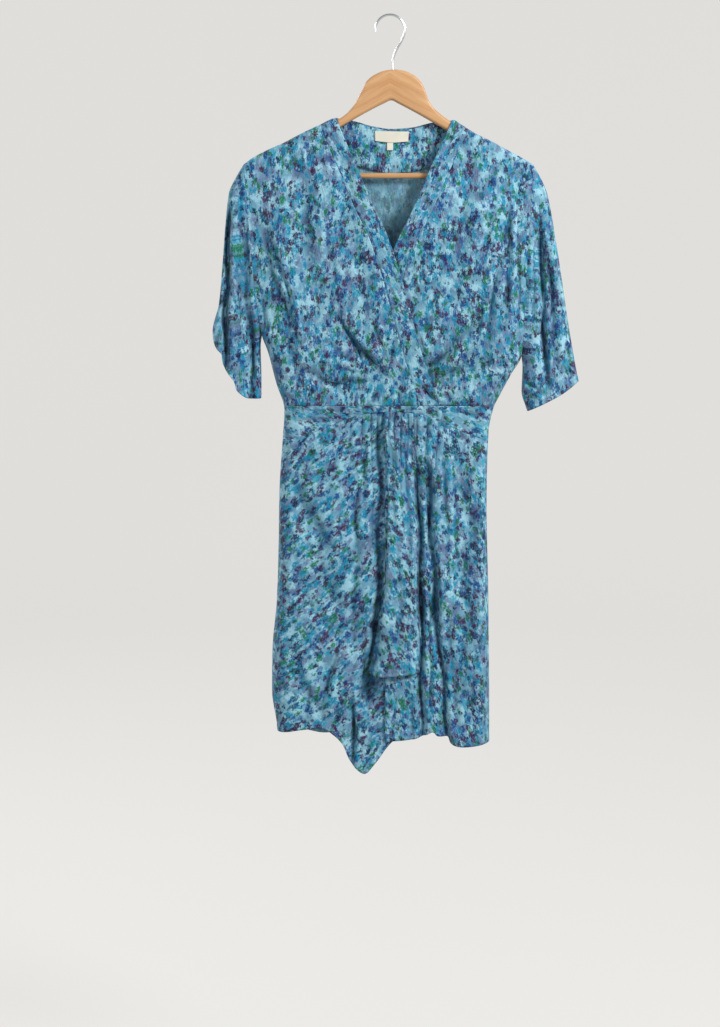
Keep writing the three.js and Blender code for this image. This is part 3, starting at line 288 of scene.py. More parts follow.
def smooth_through(at, value):
    """A cubic through the points (at, value), whose slopes never swing past a point"""
    at = np.asarray(at, float)
    value = np.asarray(value, float)
    if at[-1] < at[0]:
        at, value = at[::-1], value[::-1]
    rise = np.diff(value) / np.diff(at)
    slope = np.empty_like(at)
    slope[0] = rise[0]
    slope[-1] = rise[-1]
    agree = rise[:-1] * rise[1:] > 0
    total = np.where(agree, rise[:-1] + rise[1:], 1)
    slope[1:-1] = np.where(agree, 2 * rise[:-1] * rise[1:] / total, 0)

    def through(t):
        t = np.asarray(t, float)
        i = np.clip(np.searchsorted(at, t, side="right") - 1, 0, len(at) - 2)
        width = at[i + 1] - at[i]
        s = clamp01((t - at[i]) / width)
        low = value[i] * (1 + 2 * s) * (1 - s) ** 2 + slope[i] * width * s * (1 - s) ** 2
        return low + value[i + 1] * s * s * (3 - 2 * s) + slope[i + 1] * width * s * s * (s - 1)

    return through


def column(rows, index):
    return [row[index] for row in rows]


left_x = smooth_through(column(LEFT_SIDE, 0), column(LEFT_SIDE, 1))
right_x = smooth_through(column(RIGHT_SIDE, 0), column(RIGHT_SIDE, 1))
front_depth = smooth_through(column(BODY_DEPTH, 0), column(BODY_DEPTH, 1))
back_depth = smooth_through(column(BODY_DEPTH, 0), column(BODY_DEPTH, 2))
shoulder_z = smooth_through(column(SHOULDER, 0), column(SHOULDER, 1))
arch_z = smooth_through(column(WAIST_ARCH, 0), column(WAIST_ARCH, 1))
over_edge_x = smooth_through(column(OVER_EDGE, 1), column(OVER_EDGE, 0))
flap_edge_x = smooth_through(column(FLAP_EDGE, 1), column(FLAP_EDGE, 0))


def path(points):
    """A path through points of x and z, by share of its length"""
    points = np.asarray(points, float)
    at = np.concatenate([[0], np.cumsum(np.hypot(*np.diff(points, axis=0).T))])
    x = smooth_through(at / at[-1], points[:, 0])
    z = smooth_through(at / at[-1], points[:, 1])
    return lambda t: (x(t), z(t))


def along_side(side_x, z0, z1):
    return lambda t: (side_x(mix(z0, z1, t)), mix(z0, z1, t))


def along_shoulder(x0, x1):
    return lambda t: (mix(x0, x1, t), shoulder_z(mix(x0, x1, t)))


def along_arch(x0, x1, drop=0.0):
    return lambda t: (mix(x0, x1, t), arch_z(mix(x0, x1, t)) - drop)


def straight(a, b):
    return lambda t: (mix(a[0], b[0], t), mix(a[1], b[1], t))


def patch(top, bottom, left, right):
    """A patch between four edges: the mean of the two ways to blend them, less the corners' own blend"""
    corners = [edge(np.float64(t)) for edge in (top, bottom) for t in (0.0, 1.0)]

    def at(u, v):
        edges = (top(u), bottom(u), left(v), right(v))
        return tuple(
            mix(edges[0][k], edges[1][k], v) + mix(edges[2][k], edges[3][k], u)
            - mix(mix(corners[0][k], corners[1][k], u), mix(corners[2][k], corners[3][k], u), v)
            for k in (0, 1)
        )

    return at


def between(outline, start, end):
    """The part of a patch between two shares of each of its rows"""
    return lambda u, v: outline(mix(start(v), end(v), u), v)


def uneven(x, z, cell_x, cell_z, seed):
    """Smooth random heights from -1 to 1: each corner of a lattice has its own, eased between corners"""
    size = 64
    table = np.random.default_rng(seed).uniform(-1, 1, (size, size))
    gx = x / cell_x + 1000.0
    gz = z / cell_z + 1000.0
    ix = np.floor(gx).astype(int)
    iz = np.floor(gz).astype(int)
    fx = ease(gx - ix)
    fz = ease(gz - iz)
    near = mix(table[ix % size, iz % size], table[(ix + 1) % size, iz % size], fx)
    far = mix(table[ix % size, (iz + 1) % size], table[(ix + 1) % size, (iz + 1) % size], fx)
    return mix(near, far, fz)


def beside_line(x, z, x0, z0, x1, z1):
    """How far along a line a point is, as a share of its length, how far beside it, and that length"""
    dx = x1 - x0
    dz = z1 - z0
    length = math.hypot(dx, dz)
    along = ((x - x0) * dx + (z - z0) * dz) / length ** 2
    return along, ((x0 - x) * dz + (z - z0) * dx) / length, length


def across_folds(folds, x, z):
    """For each large fold, how far across its wandering line a point is, in widths, and how strong the fold
    is there. It fades past both ends."""
    run_out = 0.2
    for k, (x0, z0, x1, z1, width, depth, lift, side) in enumerate(folds):
        along, beside, length = beside_line(x, z, x0, z0, x1, z1)
        drift = 0.35 * width * np.sin(along * length / 21.0 + 1.7 * k)
        fade = ease((along + run_out) / run_out) * ease((1 + run_out - along) / run_out)
        yield (beside + drift) / width * side, fade, depth, lift


def fold_depth(folds, x, z):
    """How far the large folds press the cloth in: a bell across each line, beside a lifted side that sinks"""
    reach = 7.0
    total = np.zeros_like(x)
    for beside, fade, depth, lift in across_folds(folds, x, z):
        raised = lift * ease((beside + 1) / 2) * np.exp(-np.maximum(beside - 1, 0) / reach)
        total += fade * (depth * np.exp(-beside * beside) - raised)
    return total


def across_creases(creases, x, z):
    """For each crease, how far across its line a point is, in widths, and how strong the crease is there. The
    line is bowed and wanders slightly, and it swells and dies away."""
    for k, (x0, z0, x1, z1, bow, width, depth, ridge, side) in enumerate(creases):
        along, beside, length = beside_line(x, z, x0, z0, x1, z1)
        held = clamp01(along)
        line = bow * 4 * held * (1 - held) + 0.3 * width * np.sin(held * length / 13.0 + 2.3 * k)
        swell = ease(along / 0.3) * ease((1 - along) / 0.35)
        yield (beside - line) * side / (width * (0.65 + 0.35 * swell)), swell, depth, ridge


def crease_depth(creases, x, z):
    """How far the finer creases press the cloth in: a groove that is steep on one side, where a soft ridge
    stands, and slack on the other"""
    total = np.zeros_like(x)
    for beside, swell, depth, ridge in across_creases(creases, x, z):
        groove = np.exp(-np.where(beside > 0, beside / 0.7, beside / 1.7) ** 2)
        stand = np.exp(-((beside - 1.9) / 1.2) ** 2)
        total += swell * (depth * groove - ridge * stand)
    return total * bpy.context.scene.dress_cloth.crease


def shade_in(folds, creases, x, z):
    """How much painted shade the cloth gets at the bottom of its folds and creases, from 0 to 1: there it
    touches itself, and little light gets in"""
    total = np.zeros_like(x)
    for beside, fade, depth, _ in across_folds(folds, x, z):
        total += depth / 7 * fade * np.exp(-(beside / 0.55) ** 2)
    for beside, swell, depth, _ in across_creases(creases, x, z):
        total += 0.26 * depth * swell * np.exp(-np.where(beside > 0, beside / 0.42, beside / 0.8) ** 2)
    return clamp01(total)


class Side:
    """One side of the body: its edge by height, which way is inward, and where its armhole starts and ends"""

    def __init__(self, edge, inward, top, armpit):
        self.edge = edge
        self.inward = inward
        self.top = top
        self.armpit = armpit

    def share(self, z):
        return (self.top - z) / (self.top - self.armpit)


LEFT = Side(left_x, 1, SHOULDER_END_Z, LEFT_ARMPIT_Z)
RIGHT = Side(right_x, -1, SHOULDER_END_Z, RIGHT_ARMPIT_Z)


def over_arm(x, z):
    """The turn over the hanger's arm: a quarter circle below the shoulder line"""
    return RIDGE * quarter_round((shoulder_z(x) - z) * SHOULDER_COS / RIDGE)


def armhole_half(side, z):
    """Half the armhole's depth: a squared-off loop that closes at the armpit, and never less than the turn"""
    share = side.share(z)
    held = clamp01(share)
    loop = ARMHOLE_HALF * super_round(held, mix(8.0, 4.0, held))
    return np.where(share < 0.5, np.maximum(loop, over_arm(side.edge(z), z)), loop)


def body_half(x, z, middle_depth):
    """Half depth of the body: full in the middle, rounded at the side seams and narrow at the armholes"""
    turned = over_arm(x, z)
    half = turned + (middle_depth(z) - RIDGE) * ease((shoulder_z(x) - z) * SHOULDER_COS / SHOULDER_DROP)
    for side in (LEFT, RIGHT):
        inward = (x - side.edge(z)) * side.inward
        share = side.share(z)
        hole = armhole_half(side, z)
        sewn = np.where(share < 0.5, 0, 1 - hole / ARMHOLE_HALF)
        rise = mix(ease(inward / ARMHOLE_BLEND), quarter_round(inward / SIDE_ROUND), sewn)
        shaped = mix(hole, half, rise)
        shaped = np.where(share < 0.5, np.maximum(shaped, turned), shaped)
        half = np.where(z > side.top, half, shaped)
    return half


def away_from_seams(x, z, side_fade, top_clear, top_fade):
    """1 in the middle of the body, and 0 at the side seams and the shoulders, where the pieces are sewn"""
    sides = ease((x - left_x(z)) / side_fade) * ease((right_x(z) - x) / side_fade)
    return sides * ease((shoulder_z(x) - z - top_clear) / top_fade)


def loose(x, z):
    """How free the cloth is to take the large folds"""
    return away_from_seams(x, z, 30, 12, 60)


def nearly_loose(x, z):
    """How free it is to take the finer creases, which run closer to the seams"""
    return away_from_seams(x, z, 12, 10, 30)


def crinkle(x, z, seed):
    """The soft unevenness of thin cloth: long low waves and shorter ones, both stretched down the cloth"""
    long_waves = 0.75 * uneven(x, z, 17.0, 60.0, seed)
    short_waves = 0.34 * uneven(x + 0.2 * z, z, 7.5, 17.0, seed + 1)
    fine = 0.13 * uneven(x - 0.3 * z, z, 3.9, 6.5, seed + 2)
    return bpy.context.scene.dress_cloth.crinkle * (long_waves + short_waves + fine)


def puckers(x, z, seam_z, seed):
    """Short upright puckers that a row of stitches draws up on both sides of a seam"""
    return 1.2 * uneven(x, z, 4.6, 24.0, seed) * np.exp(-((z - seam_z) / 14) ** 2)


def front_puckers(x, z):
    return puckers(x, z, WAIST_Z, 17) + 0.8 * puckers(x, z, arch_z(x), 18)


def gather_ridge(x, z):
    """Where a point lies in the gathers: 1 on top of a ridge and 0 in a narrow valley, uneven in pitch"""
    count = x / GATHERS["pitch"] + 0.55 * np.sin(x / 17) + 0.3 * uneven(x, z, 30.0, 60.0, 6)
    return np.abs(np.sin(np.pi * count)) ** 0.8


def gather_strength(x, z):
    """How strong the gathers are: full under the waistband, fading as they fall, and short above the seam"""
    inside = ease((x - GATHERS["left"]) / GATHERS["edge"]) * ease((GATHERS["right"] - x) / GATHERS["edge"])
    below = arch_z(x) - z
    reach = GATHERS["length"] * (0.8 + 0.35 * uneven(x, z * 0, 19.0, 50.0, 5))
    falling = mix(0.5, 1.0, ease(below / 16)) * (1 - ease(below / reach))
    return inside * np.where(below > 0, falling, 0.5 * ease((below + 15) / 15))


def gather_depth(x, z):
    """How far the gathers press the cloth in"""
    return GATHERS["depth"] * gather_strength(x, z) * (1.15 - 2.0 * gather_ridge(x, z))


def front_relief(x, z):
    """All that presses the front in or lets it out: the same for every layer, so that no two cross"""
    bodice = fold_depth(BODICE_FOLDS, x, z) * loose(x, z) * ease((z - WAIST_Z) / 30)
    skirt = fold_depth(SKIRT_FOLDS, x, z) * loose(x, z) * ease((arch_z(x) - z) / 40)
    fine = crease_depth(FRONT_CREASES, x, z) + crinkle(x, z, 11)
    fine += front_puckers(x, z)
    return bodice + skirt + fine * nearly_loose(x, z)


def painted_edge_shadow(past, width, z, top, top_fade, foot, foot_fade):
    """The painted shadow just past a free edge, between two heights. past is how far a point is from the edge.
    """
    across = ease(past) * np.exp(-np.maximum(past / width, 0) ** 2)
    return across * ease((top - z) / top_fade) * ease((z - foot) / foot_fade)


def front_shade(x, z):
    """The painted shade of the front, from 0 to 1: at the bottom of its folds, creases and puckers, in the
    valleys of the gathers, and a painted shadow on the cloth just past the free edges of the flap and of
    the front that laps over"""
    # Painted shade in the valleys of the gathers
    valley = gather_strength(x, z) * (1 - gather_ridge(x, z)) ** 2
    pressed = shade_in(BODICE_FOLDS, FRONT_CREASES, x, z) + shade_in(SKIRT_FOLDS, (), x, z)
    # Painted shade in the puckers by the waist seams
    pressed += 0.6 * clamp01(front_puckers(x, z))
    # Painted shadows beside the flap's free edge, under its lower corner and beside the edge of the front that
    # laps over
    beside_flap = painted_edge_shadow(flap_edge_x(z) - 1 - x, 8, z, -700, 200, -1010, 40)
    below_flap = np.exp(-((x + 24) / 19) ** 2 - ((z + 987) / 16) ** 2) * ease((-968 - z) / 4)
    beside_over = painted_edge_shadow(x - over_edge_x(z), 4.5, z, -262, 20, -562, 20)
    past_edges = 0.7 * beside_flap + below_flap + 0.6 * beside_over
    return clamp01(pressed * nearly_loose(x, z) + valley + past_edges)


# Painted shade at the bottom of the back's folds and creases
def back_shade(x, z):
    return shade_in(BACK_FOLDS, BACK_CREASES, x, z) * nearly_loose(x, z)


def back_relief(x, z):
    """All that presses the back in or lets it out"""
    away = ease(np.abs(z - WAIST_Z) / 30)
    fine = crease_depth(BACK_CREASES, x, z) + crinkle(x, z, 31)
    fine += puckers(x, z, WAIST_Z, 37) + puckers(x, z, BACK_WAIST_Z, 38)
    return fold_depth(BACK_FOLDS, x, z) * loose(x, z) * away + fine * nearly_loose(x, z)


def front_y(x, z):
    return -body_half(x, z, front_depth) + front_relief(x, z)


def back_y(x, z):
    """The back's own form, which stands clear of the hanger behind the neck opening"""
    over_neck = quarter_round((x - LEFT_NECK[0]) / NECK_TURN) * quarter_round((RIGHT_NECK[0] - x) / NECK_TURN)
    clear = NECK_HALF * ease((z + 330) / 90)
    return np.maximum(body_half(x, z, back_depth), clear * over_neck) - back_relief(x, z)


def before_seam(y):
    return np.minimum(y, -SEAM / 2)


def over_wall_y(x, z):
    """The front's middle surface, which stays before the side seams' plane"""
    return before_seam(front_y(x, z))


def under_wall_y(x, z):
    """The under front, a layer further back where the other front covers it"""
    return before_seam(front_y(x, z) + LAYER * ease((over_edge_x(z) + 45 - x) / 35) * ease((-250 - z) / 60))


def back_wall_y(x, z):
    """The back's middle surface, which stays behind the side seams' plane"""
    return np.maximum(back_y(x, z), SEAM / 2)


# Shells
def drape(outline, depth):
    """A middle surface from an outline patch and a depth at each of its points"""

    def surface(u, v):
        x, z = outline(u, v)
        return np.stack([x, depth(x, z), z], axis=-1)

    return surface


def spread_columns(count, reach=0.08, ends=(True, True), busy=(0.0, 0.0, 0.0)):
    """Columns closer together towards the ends that turn in at a seam, and by the third of busy between
    its first two shares, where the folds are narrow"""
    crowd = 3.0
    fade = 0.04
    t = np.linspace(0, 1, 801)
    density = np.ones_like(t)
    if ends[0]:
        density += crowd * np.exp(-(t / reach) ** 2)
    if ends[1]:
        density += crowd * np.exp(-((1 - t) / reach) ** 2)
    density += busy[2] * ease((t - busy[0]) / fade) * ease((busy[1] - t) / fade)
    total = np.concatenate([[0], np.cumsum((density[1:] + density[:-1]) / 2)])
    return np.interp(np.linspace(0, total[-1], count + 1), total, t)


def shoulder_rows(count, turns=9):
    """Rows that follow the turn over the hanger's arm in even angles, and then go on evenly"""
    reach = RIDGE / (SHOULDER_END_Z - WAIST_Z)
    turn = reach * (1 - np.cos(np.arange(turns) / turns * math.pi / 2))
    return np.concatenate([turn, np.linspace(reach, 1, count + 1)])


def lengths_along(points, axis):
    """Length of cloth from the first row or column to each point"""
    steps = np.linalg.norm(np.diff(points, axis=axis), axis=-1)
    start = np.zeros_like(np.take(steps, [0], axis=axis))
    return np.concatenate([start, np.cumsum(steps, axis=axis)], axis=axis)


def tube_faces(stations, sides):
    """Faces round a tube whose points go round one station after another, and each face's station and side"""
    j, i = np.meshgrid(np.arange(stations - 1), np.arange(sides), indexing="ij")
    beside = (i + 1) % sides
    faces = np.stack([j * sides + i, (j + 1) * sides + i, (j + 1) * sides + beside, j * sides + beside], -1)
    return faces.reshape(-1, 4), j, i


def faced_out(points, faces, uvs, centre):
    """Faces and their UVs, all turned over if they look towards the centre, which may be one for each face"""
    p = points[faces]
    normal = np.cross(p[:, 0] - p[:, 2], p[:, 1] - p[:, 3])
    if (normal * (p.mean(1) - centre)).sum() < 0:
        faces = faces[:, ::-1]
        uvs = uvs.reshape(-1, 4, 2)[:, ::-1].reshape(-1, 2)
    return faces, uvs


def mesh_object(name, points, faces, uvs, material, marks=None, smooth=None):
    """A mesh from points in millimetres, faces with four sides, a UV at each corner and marks at points"""
    mesh = bpy.data.meshes.new(name)
    mesh.vertices.add(len(points))
    mesh.vertices.foreach_set("co", (points * MM).astype(np.float32).ravel())
    mesh.loops.add(faces.size)
    mesh.loops.foreach_set("vertex_index", faces.astype(np.int32).ravel())
    mesh.polygons.add(len(faces))
    mesh.polygons.foreach_set("loop_start", np.arange(0, faces.size, 4, dtype=np.int32))
    mesh.polygons.foreach_set("use_smooth", np.ones(len(faces), bool) if smooth is None else smooth)
    mesh.update(calc_edges=True)
    layer = mesh.uv_layers.new(name="cloth")
    layer.data.foreach_set("uv", (uvs * MM).astype(np.float32).ravel())
    for key, values in (marks or {}).items():
        mark = mesh.attributes.new(key, "FLOAT", "POINT")
        mark.data.foreach_set("value", values.astype(np.float32))
    mesh.materials.append(material)
    mesh.validate()
    made = bpy.data.objects.new(name, mesh)
    bpy.context.scene.collection.objects.link(made)
    return made


def laid_flat(flat, middle, times=320):
    """A piece of cloth laid flat. The first guess is widened along each row by the length that goes into
    depth. Then each point moves little by little, with some swing, until the steps to its eight neighbours
    are as long as they are on the cloth."""
    swing = 0.94
    pull = 0.06
    whole = slice(None)
    early = slice(None, -1)
    late = slice(1, None)
    pairs = (((whole, early), (whole, late)), ((early, whole), (late, whole)),
             ((early, early), (late, late)), ((early, late), (late, early)))
    lengths = [np.linalg.norm(middle[b] - middle[a], axis=-1) for a, b in pairs]
    across = np.abs(np.diff(flat[..., 0], axis=1))
    extra = np.cumsum(np.hypot(across, np.diff(middle[..., 1], axis=1)) - across, axis=1)
    extra -= extra[:, extra.shape[1] // 2, None]
    flat = flat.copy()
    flat[:, 1:, 0] += np.sign(flat[:, -1:, 0] - flat[:, :1, 0]) * extra
    flat[:, 0, 0] = 2 * flat[:, 1, 0] - flat[:, 2, 0]
    speed = np.zeros_like(flat)
    for _ in range(times):
        speed *= swing
        for (a, b), length in zip(pairs, lengths):
            gap = flat[b] - flat[a]
            apart = np.maximum(np.linalg.norm(gap, axis=-1), 1e-6)
            push = gap * (pull * (1 - length / apart))[..., None]
            speed[a] += push
            speed[b] -= push
        flat += speed
    return flat


def tube_laid_flat(middle):
    """A tube cut open along its middle column and laid flat. The second half is mirrored over
    the first column."""
    half = middle.shape[1] // 2
    near = middle[:, :half + 1, ::2]
    fold = near[:, :1]
    forward = (fold[-1, 0] - fold[0, 0]) / np.linalg.norm(fold[-1, 0] - fold[0, 0])
    gap = middle[:, half:, ::2] - fold
    far = fold + 2 * (gap @ forward)[..., None] * forward - gap
    order = np.concatenate([middle[:, half:], middle[:, 1:half + 1]], axis=1)
    flat = laid_flat(np.concatenate([far, near[:, 1:]], axis=1), order, times=1500)
    return flat[:, half:], flat[:, :half + 1]


def surface_normals(middle, outward, ring):
    """Unit normals of a grid of points. The first and last columns of a ring are the same points."""
    down = np.gradient(middle, axis=0)
    if ring:
        around = np.roll(middle[:, :-1], -1, axis=1) - np.roll(middle[:, :-1], 1, axis=1)
        around = np.concatenate([around, around[:, :1]], axis=1)
    else:
        around = np.gradient(middle, axis=1)
    normal = np.cross(around, down) * outward
    return normal / np.maximum(np.linalg.norm(normal, axis=-1, keepdims=True), 1e-9)


def hem_share(middle, hems, width):
    """1 where a grid of points is within a hem's width of one of the edges named, and 0 elsewhere"""
    fade = 1.2
    length_u = lengths_along(middle, 1)
    length_v = lengths_along(middle, 0)
    from_edge = {
        "bottom": length_v[-1:] - length_v,
        "left": length_u,
        "right": length_u[:, -1:] - length_u,
    }
    share = np.zeros(length_u.shape)
    for edge in hems:
        share = np.maximum(share, ease((width + fade - from_edge[edge]) / fade))
    return share


def cloth_uvs(middle, ring, turn, shift):
    """UVs of the left and right points of each step across: the cloth laid flat, turned and moved"""
    if ring:
        near, far = tube_laid_flat(middle)
        lefts = np.concatenate([near[:, :-1], far[:, :-1]], axis=1)
        rights = np.concatenate([near[:, 1:], far[:, 1:]], axis=1)
    else:
        flat = laid_flat(middle[..., ::2], middle)
        lefts, rights = flat[:, :-1], flat[:, 1:]
    cos = math.cos(math.radians(turn))
    sin = math.sin(math.radians(turn))
    return [
        np.stack([
            side[..., 0] * cos - side[..., 1] * sin + shift[0],
            side[..., 0] * sin + side[..., 1] * cos + shift[1],
        ], axis=-1)
        for side in (lefts, rights)
    ]


def cloth_shell(name, surface, us, vs, outward, material, turn=0.0, shift=(0.0, 0.0), ring=False, hems=(),
                shade=None):
    """A closed thin wall: the middle surface moved out and in along its normal by half the thickness, and
    joined by rims. The cloth is thicker by a fold along each hem. Its UV is the cloth laid flat, turned and
    moved. Its marks say which points are inside, and the painted shade at each where the cloth closes."""
    cloth = bpy.context.scene.dress_cloth
    grid_u, grid_v = np.meshgrid(us, vs)
    middle = surface(grid_u, grid_v)
    normal = surface_normals(middle, outward, ring)
    extra = hem_share(middle, hems, cloth.hem_width / MM)
    wall = cloth.wall / MM
    outer = middle + normal * (wall / 2 + 0.35 * extra)[..., None]
    inner = middle - normal * (wall / 2 + 0.25 * extra)[..., None]
    rows, columns = grid_u.shape
    kept = columns - 1 if ring else columns
    points = np.concatenate([outer[:, :kept].reshape(-1, 3), inner[:, :kept].reshape(-1, 3)])
    back = rows * kept
    index = np.arange(rows)[:, None] * kept + np.arange(columns)[None, :] % kept
    a, b, c, d = index[:-1, :-1], index[1:, :-1], index[1:, 1:], index[:-1, 1:]
    lefts, rights = cloth_uvs(middle, ring, turn, shift)
    corner = (lefts[:-1], lefts[1:], rights[1:], rights[:-1])
    backward = (corner[0], corner[3], corner[2], corner[1])
    faces = [np.stack([a, b, c, d], -1).reshape(-1, 4), back + np.stack([a, d, c, b], -1).reshape(-1, 4)]
    uvs = [np.stack(corner, -2).reshape(-1, 2), np.stack(backward, -2).reshape(-1, 2)]

    def rim(line, starts, ends):
        """Faces that join the two sides along a line of points"""
        one, two = line[:-1], line[1:]
        faces.append(np.stack([one, two, back + two, back + one], -1))
        uvs.append(np.stack([starts, ends, ends, starts], 1).reshape(-1, 2))

    rim(index[0], lefts[0], rights[0])
    rim(index[-1][::-1], rights[-1][::-1], lefts[-1][::-1])
    if not ring:
        rim(index[:, 0][::-1], lefts[1:, 0][::-1], lefts[:-1, 0][::-1])
        rim(index[:, -1], rights[:-1, -1], rights[1:, -1])
    smooth = np.arange(sum(len(f) for f in faces)) < 2 * len(faces[0])
    faces, uvs = faced_out(points, np.concatenate(faces), np.concatenate(uvs), 0.0)
    # Painted shade from the shade map at each point; the inner side gets half of it
    painted_shade = np.zeros(back) if shade is None else shade(middle[:, :kept]).ravel()
    marks = {
        "inside": np.repeat((0.0, 1.0), back),
        "painted_shade": np.concatenate([painted_shade, painted_shade / 2]),
    }
    return mesh_object(name, points, faces, uvs, material, marks, smooth)


# The painted shade maps of the front pieces and of the back pieces
def front_painted_shade(middle):
    return front_shade(middle[..., 0], middle[..., 2])


def back_painted_shade(middle):
    return back_shade(middle[..., 0], middle[..., 2])


def declare(piece, node):
    """Hangs a cloth piece on the root and hides the solid that it stands for"""
    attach(piece, "root")
    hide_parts(node)


def stitches(name, runs, material, pitch=2.9, length=2.1, thick=0.42):
    """Rows of short threads on the cloth. Each run is a line of points and the normals at them; a thread is a
    flattened six-sided spindle laid along the line, one to each pitch"""
    rings = 5
    sides = 6
    share = np.linspace(0, 1, rings)
    girth = 0.25 + 0.75 * np.sin(np.pi * share) ** 0.6
    angle = np.arange(sides) / sides * 2 * math.pi
    points = []
    for line, normal in runs:
        at = np.concatenate([[0], np.cumsum(np.linalg.norm(np.diff(line, axis=0), axis=1))])
        count = max(int(at[-1] / pitch), 1)
        centre = (np.arange(count) + 0.5) * at[-1] / count
        spots = centre[:, None] + (share[None, :] - 0.5) * length
        place = np.stack([np.interp(spots, at, line[:, k]) for k in range(3)], -1)
        out = np.stack([np.interp(spots, at, normal[:, k]) for k in range(3)], -1)
        out /= np.linalg.norm(out, axis=-1, keepdims=True)
        forward = place[:, -1:] - place[:, :1]
        forward = np.broadcast_to(forward / np.linalg.norm(forward, axis=-1, keepdims=True), place.shape)
        sideways = np.cross(forward, out)
        bend = thick * 0.55 * np.sin(np.pi * share) - thick * 0.1
        middle = place + out * bend[None, :, None]
        ring = (
            np.cos(angle)[None, None, :, None] * sideways[:, :, None, :]
            + 0.7 * np.sin(angle)[None, None, :, None] * out[:, :, None, :]
        ) * (girth * thick / 2)[None, :, None, None]
        points.append((middle[:, :, None, :] + ring).reshape(-1, 3))
    points = np.concatenate(points)
    threads = len(points) // (rings * sides)
    quads = tube_faces(rings, sides)[0]
    ends = []
    for first in (0, (rings - 1) * sides):
        ends += [[first, first + 1, first + 2, first + 3], [first, first + 3, first + 4, first + 5]]
    ends = np.array(ends)
    ends[2:] = ends[2:, ::-1]
    one = np.concatenate([quads, ends])[:, ::-1]
    one = faced_out(points, one, np.zeros((one.size, 2)), points[one].mean((0, 1)))[0]
    faces = (np.arange(threads)[:, None, None] * rings * sides + one[None]).reshape(-1, 4)
    made = mesh_object(name, points, faces, np.zeros((faces.size, 2)), material)
    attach(made, "root")


def line_on(surface, u, v, outward, lift):
    """Points and normals on the outer side of a cloth surface along a line of u and v"""
    step = 1e-3
    middle = surface(u, v)
    du = surface(clamp01(u + step), v) - surface(clamp01(u - step), v)
    dv = surface(u, clamp01(v + step)) - surface(u, clamp01(v - step))
    normal = np.cross(du, dv) * outward
    normal /= np.linalg.norm(normal, axis=-1, keepdims=True)
    return middle + normal * lift, normal


def share_from_end(surface, u, drop):
    """The share v at which a column is the given length above its lower end"""
    v = np.linspace(0.6, 1, 60)
    grid_u, grid_v = np.meshgrid(u, v)
    middle = surface(grid_u, grid_v)
    above = lengths_along(middle, 0)
    above = above[-1:] - above
    return np.array([np.interp(-drop, -above[:, k], v) for k in range(len(u))])


# Materials
def linear(colour):
    """The linear light of a colour given as it looks, each part from 0 to 1"""
    return tuple(c / 12.92 if c <= 0.04045 else ((c + 0.055) / 1.055) ** 2.4 for c in colour[:3]) + (1.0,)


def dimmed(light, share):
    """A share of a colour's linear light"""
    return tuple(c * share for c in light[:3]) + (1.0,)


class Recipe:
    """Adds nodes to a material and joins them"""

    def __init__(self, name):
        self.material = bpy.data.materials.new(name)
        self.material.use_nodes = True
        self.tree = self.material.node_tree
        self.shader = self.tree.nodes["Principled BSDF"]

    def add(self, kind, inputs=(), **settings):
        node = self.tree.nodes.new(kind)
        for key, value in settings.items():
            setattr(node, key, value)
        for key, value in dict(inputs).items():
            self.give(node.inputs[key], value)
        return node

    def give(self, socket, value):
        if isinstance(value, bpy.types.NodeSocket):
            self.tree.links.new(value, socket)
        else:
            socket.default_value = value

    def sum(self, operation, *values):
        node = self.add("ShaderNodeMath", operation=operation)
        for socket, value in zip(node.inputs, values):
            self.give(socket, value)
        return node.outputs[0]

    def steps(self, value, low, high, to_low=0.0, to_high=1.0):
        node = self.add("ShaderNodeMapRange", {
            "Value": value, "From Min": low, "From Max": high, "To Min": to_low, "To Max": to_high,
        }, interpolation_type="SMOOTHSTEP")
        return node.outputs["Result"]

    def over(self, share, below, above, blend="MIX"):
        node = self.add("ShaderNodeMix", data_type="RGBA", blend_type=blend)
        self.give(node.inputs[0], share)
        self.give(node.inputs[6], below)
        self.give(node.inputs[7], above)
        return node.outputs[2]

    def noise(self, vector, scale, detail=2.0, roughness=0.5, dimensions="2D", distortion=0.0):
        return self.add("ShaderNodeTexNoise", {
            "Vector": vector, "Scale": scale, "Detail": detail, "Roughness": roughness,
            "Distortion": distortion,
        }, noise_dimensions=dimensions)

    def place(self, vector, location=(0, 0, 0), scale=(1, 1, 1), rotation=0.0):
        return self.add("ShaderNodeMapping", {
            "Vector": vector, "Location": location, "Scale": scale, "Rotation": (0, 0, rotation),
        }).outputs[0]

    def bump(self, height, strength, distance):
        return self.add("ShaderNodeBump", {
            "Height": height, "Strength": strength, "Distance": distance,
        }).outputs[0]

    def finish(self, inputs):
        """Sets or joins the shader's inputs and gives the material"""
        for key, value in inputs.items():
            self.give(self.shader.inputs[key], value)
        return self.material


def dabs(r, at, wide, tall, seed, share, size, soft, ragged, lean=0.0):
    """Ragged dabs of paint, one in some cells of a stretched cell pattern. wide and tall are the cell in
    metres, share is how many cells have a dab and size its radius in cells. Gives how much a point is in a
    dab, how deep, and a lot that is the same all over a dab."""
    cells = r.place(at, (seed * 3.7, seed * 1.9, 0), (1 / wide, 1 / tall, 1), lean)
    wander = r.noise(cells, 2.3, 4.0, 0.7).outputs["Color"]
    moved = r.add("ShaderNodeVectorMath", operation="MULTIPLY_ADD")
    r.give(moved.inputs[0], wander)
    moved.inputs[1].default_value = (ragged, ragged, 0)
    r.give(moved.inputs[2], cells)
    cell = r.add("ShaderNodeTexVoronoi", {"Vector": moved.outputs[0], "Scale": 1.0, "Randomness": 1.0},
                 voronoi_dimensions="2D", feature="F1")
    lot = r.add("ShaderNodeSeparateColor", {"Color": cell.outputs["Color"]})
    radius = r.sum("MULTIPLY_ADD", lot.outputs[0], size * 0.75, size * 0.6)
    edge = r.sum("SUBTRACT", radius, cell.outputs["Distance"])
    dab = r.steps(edge, -soft, soft)
    present = r.sum("LESS_THAN", lot.outputs[1], share)
    return r.sum("MULTIPLY", dab, present), edge, lot.outputs[2]


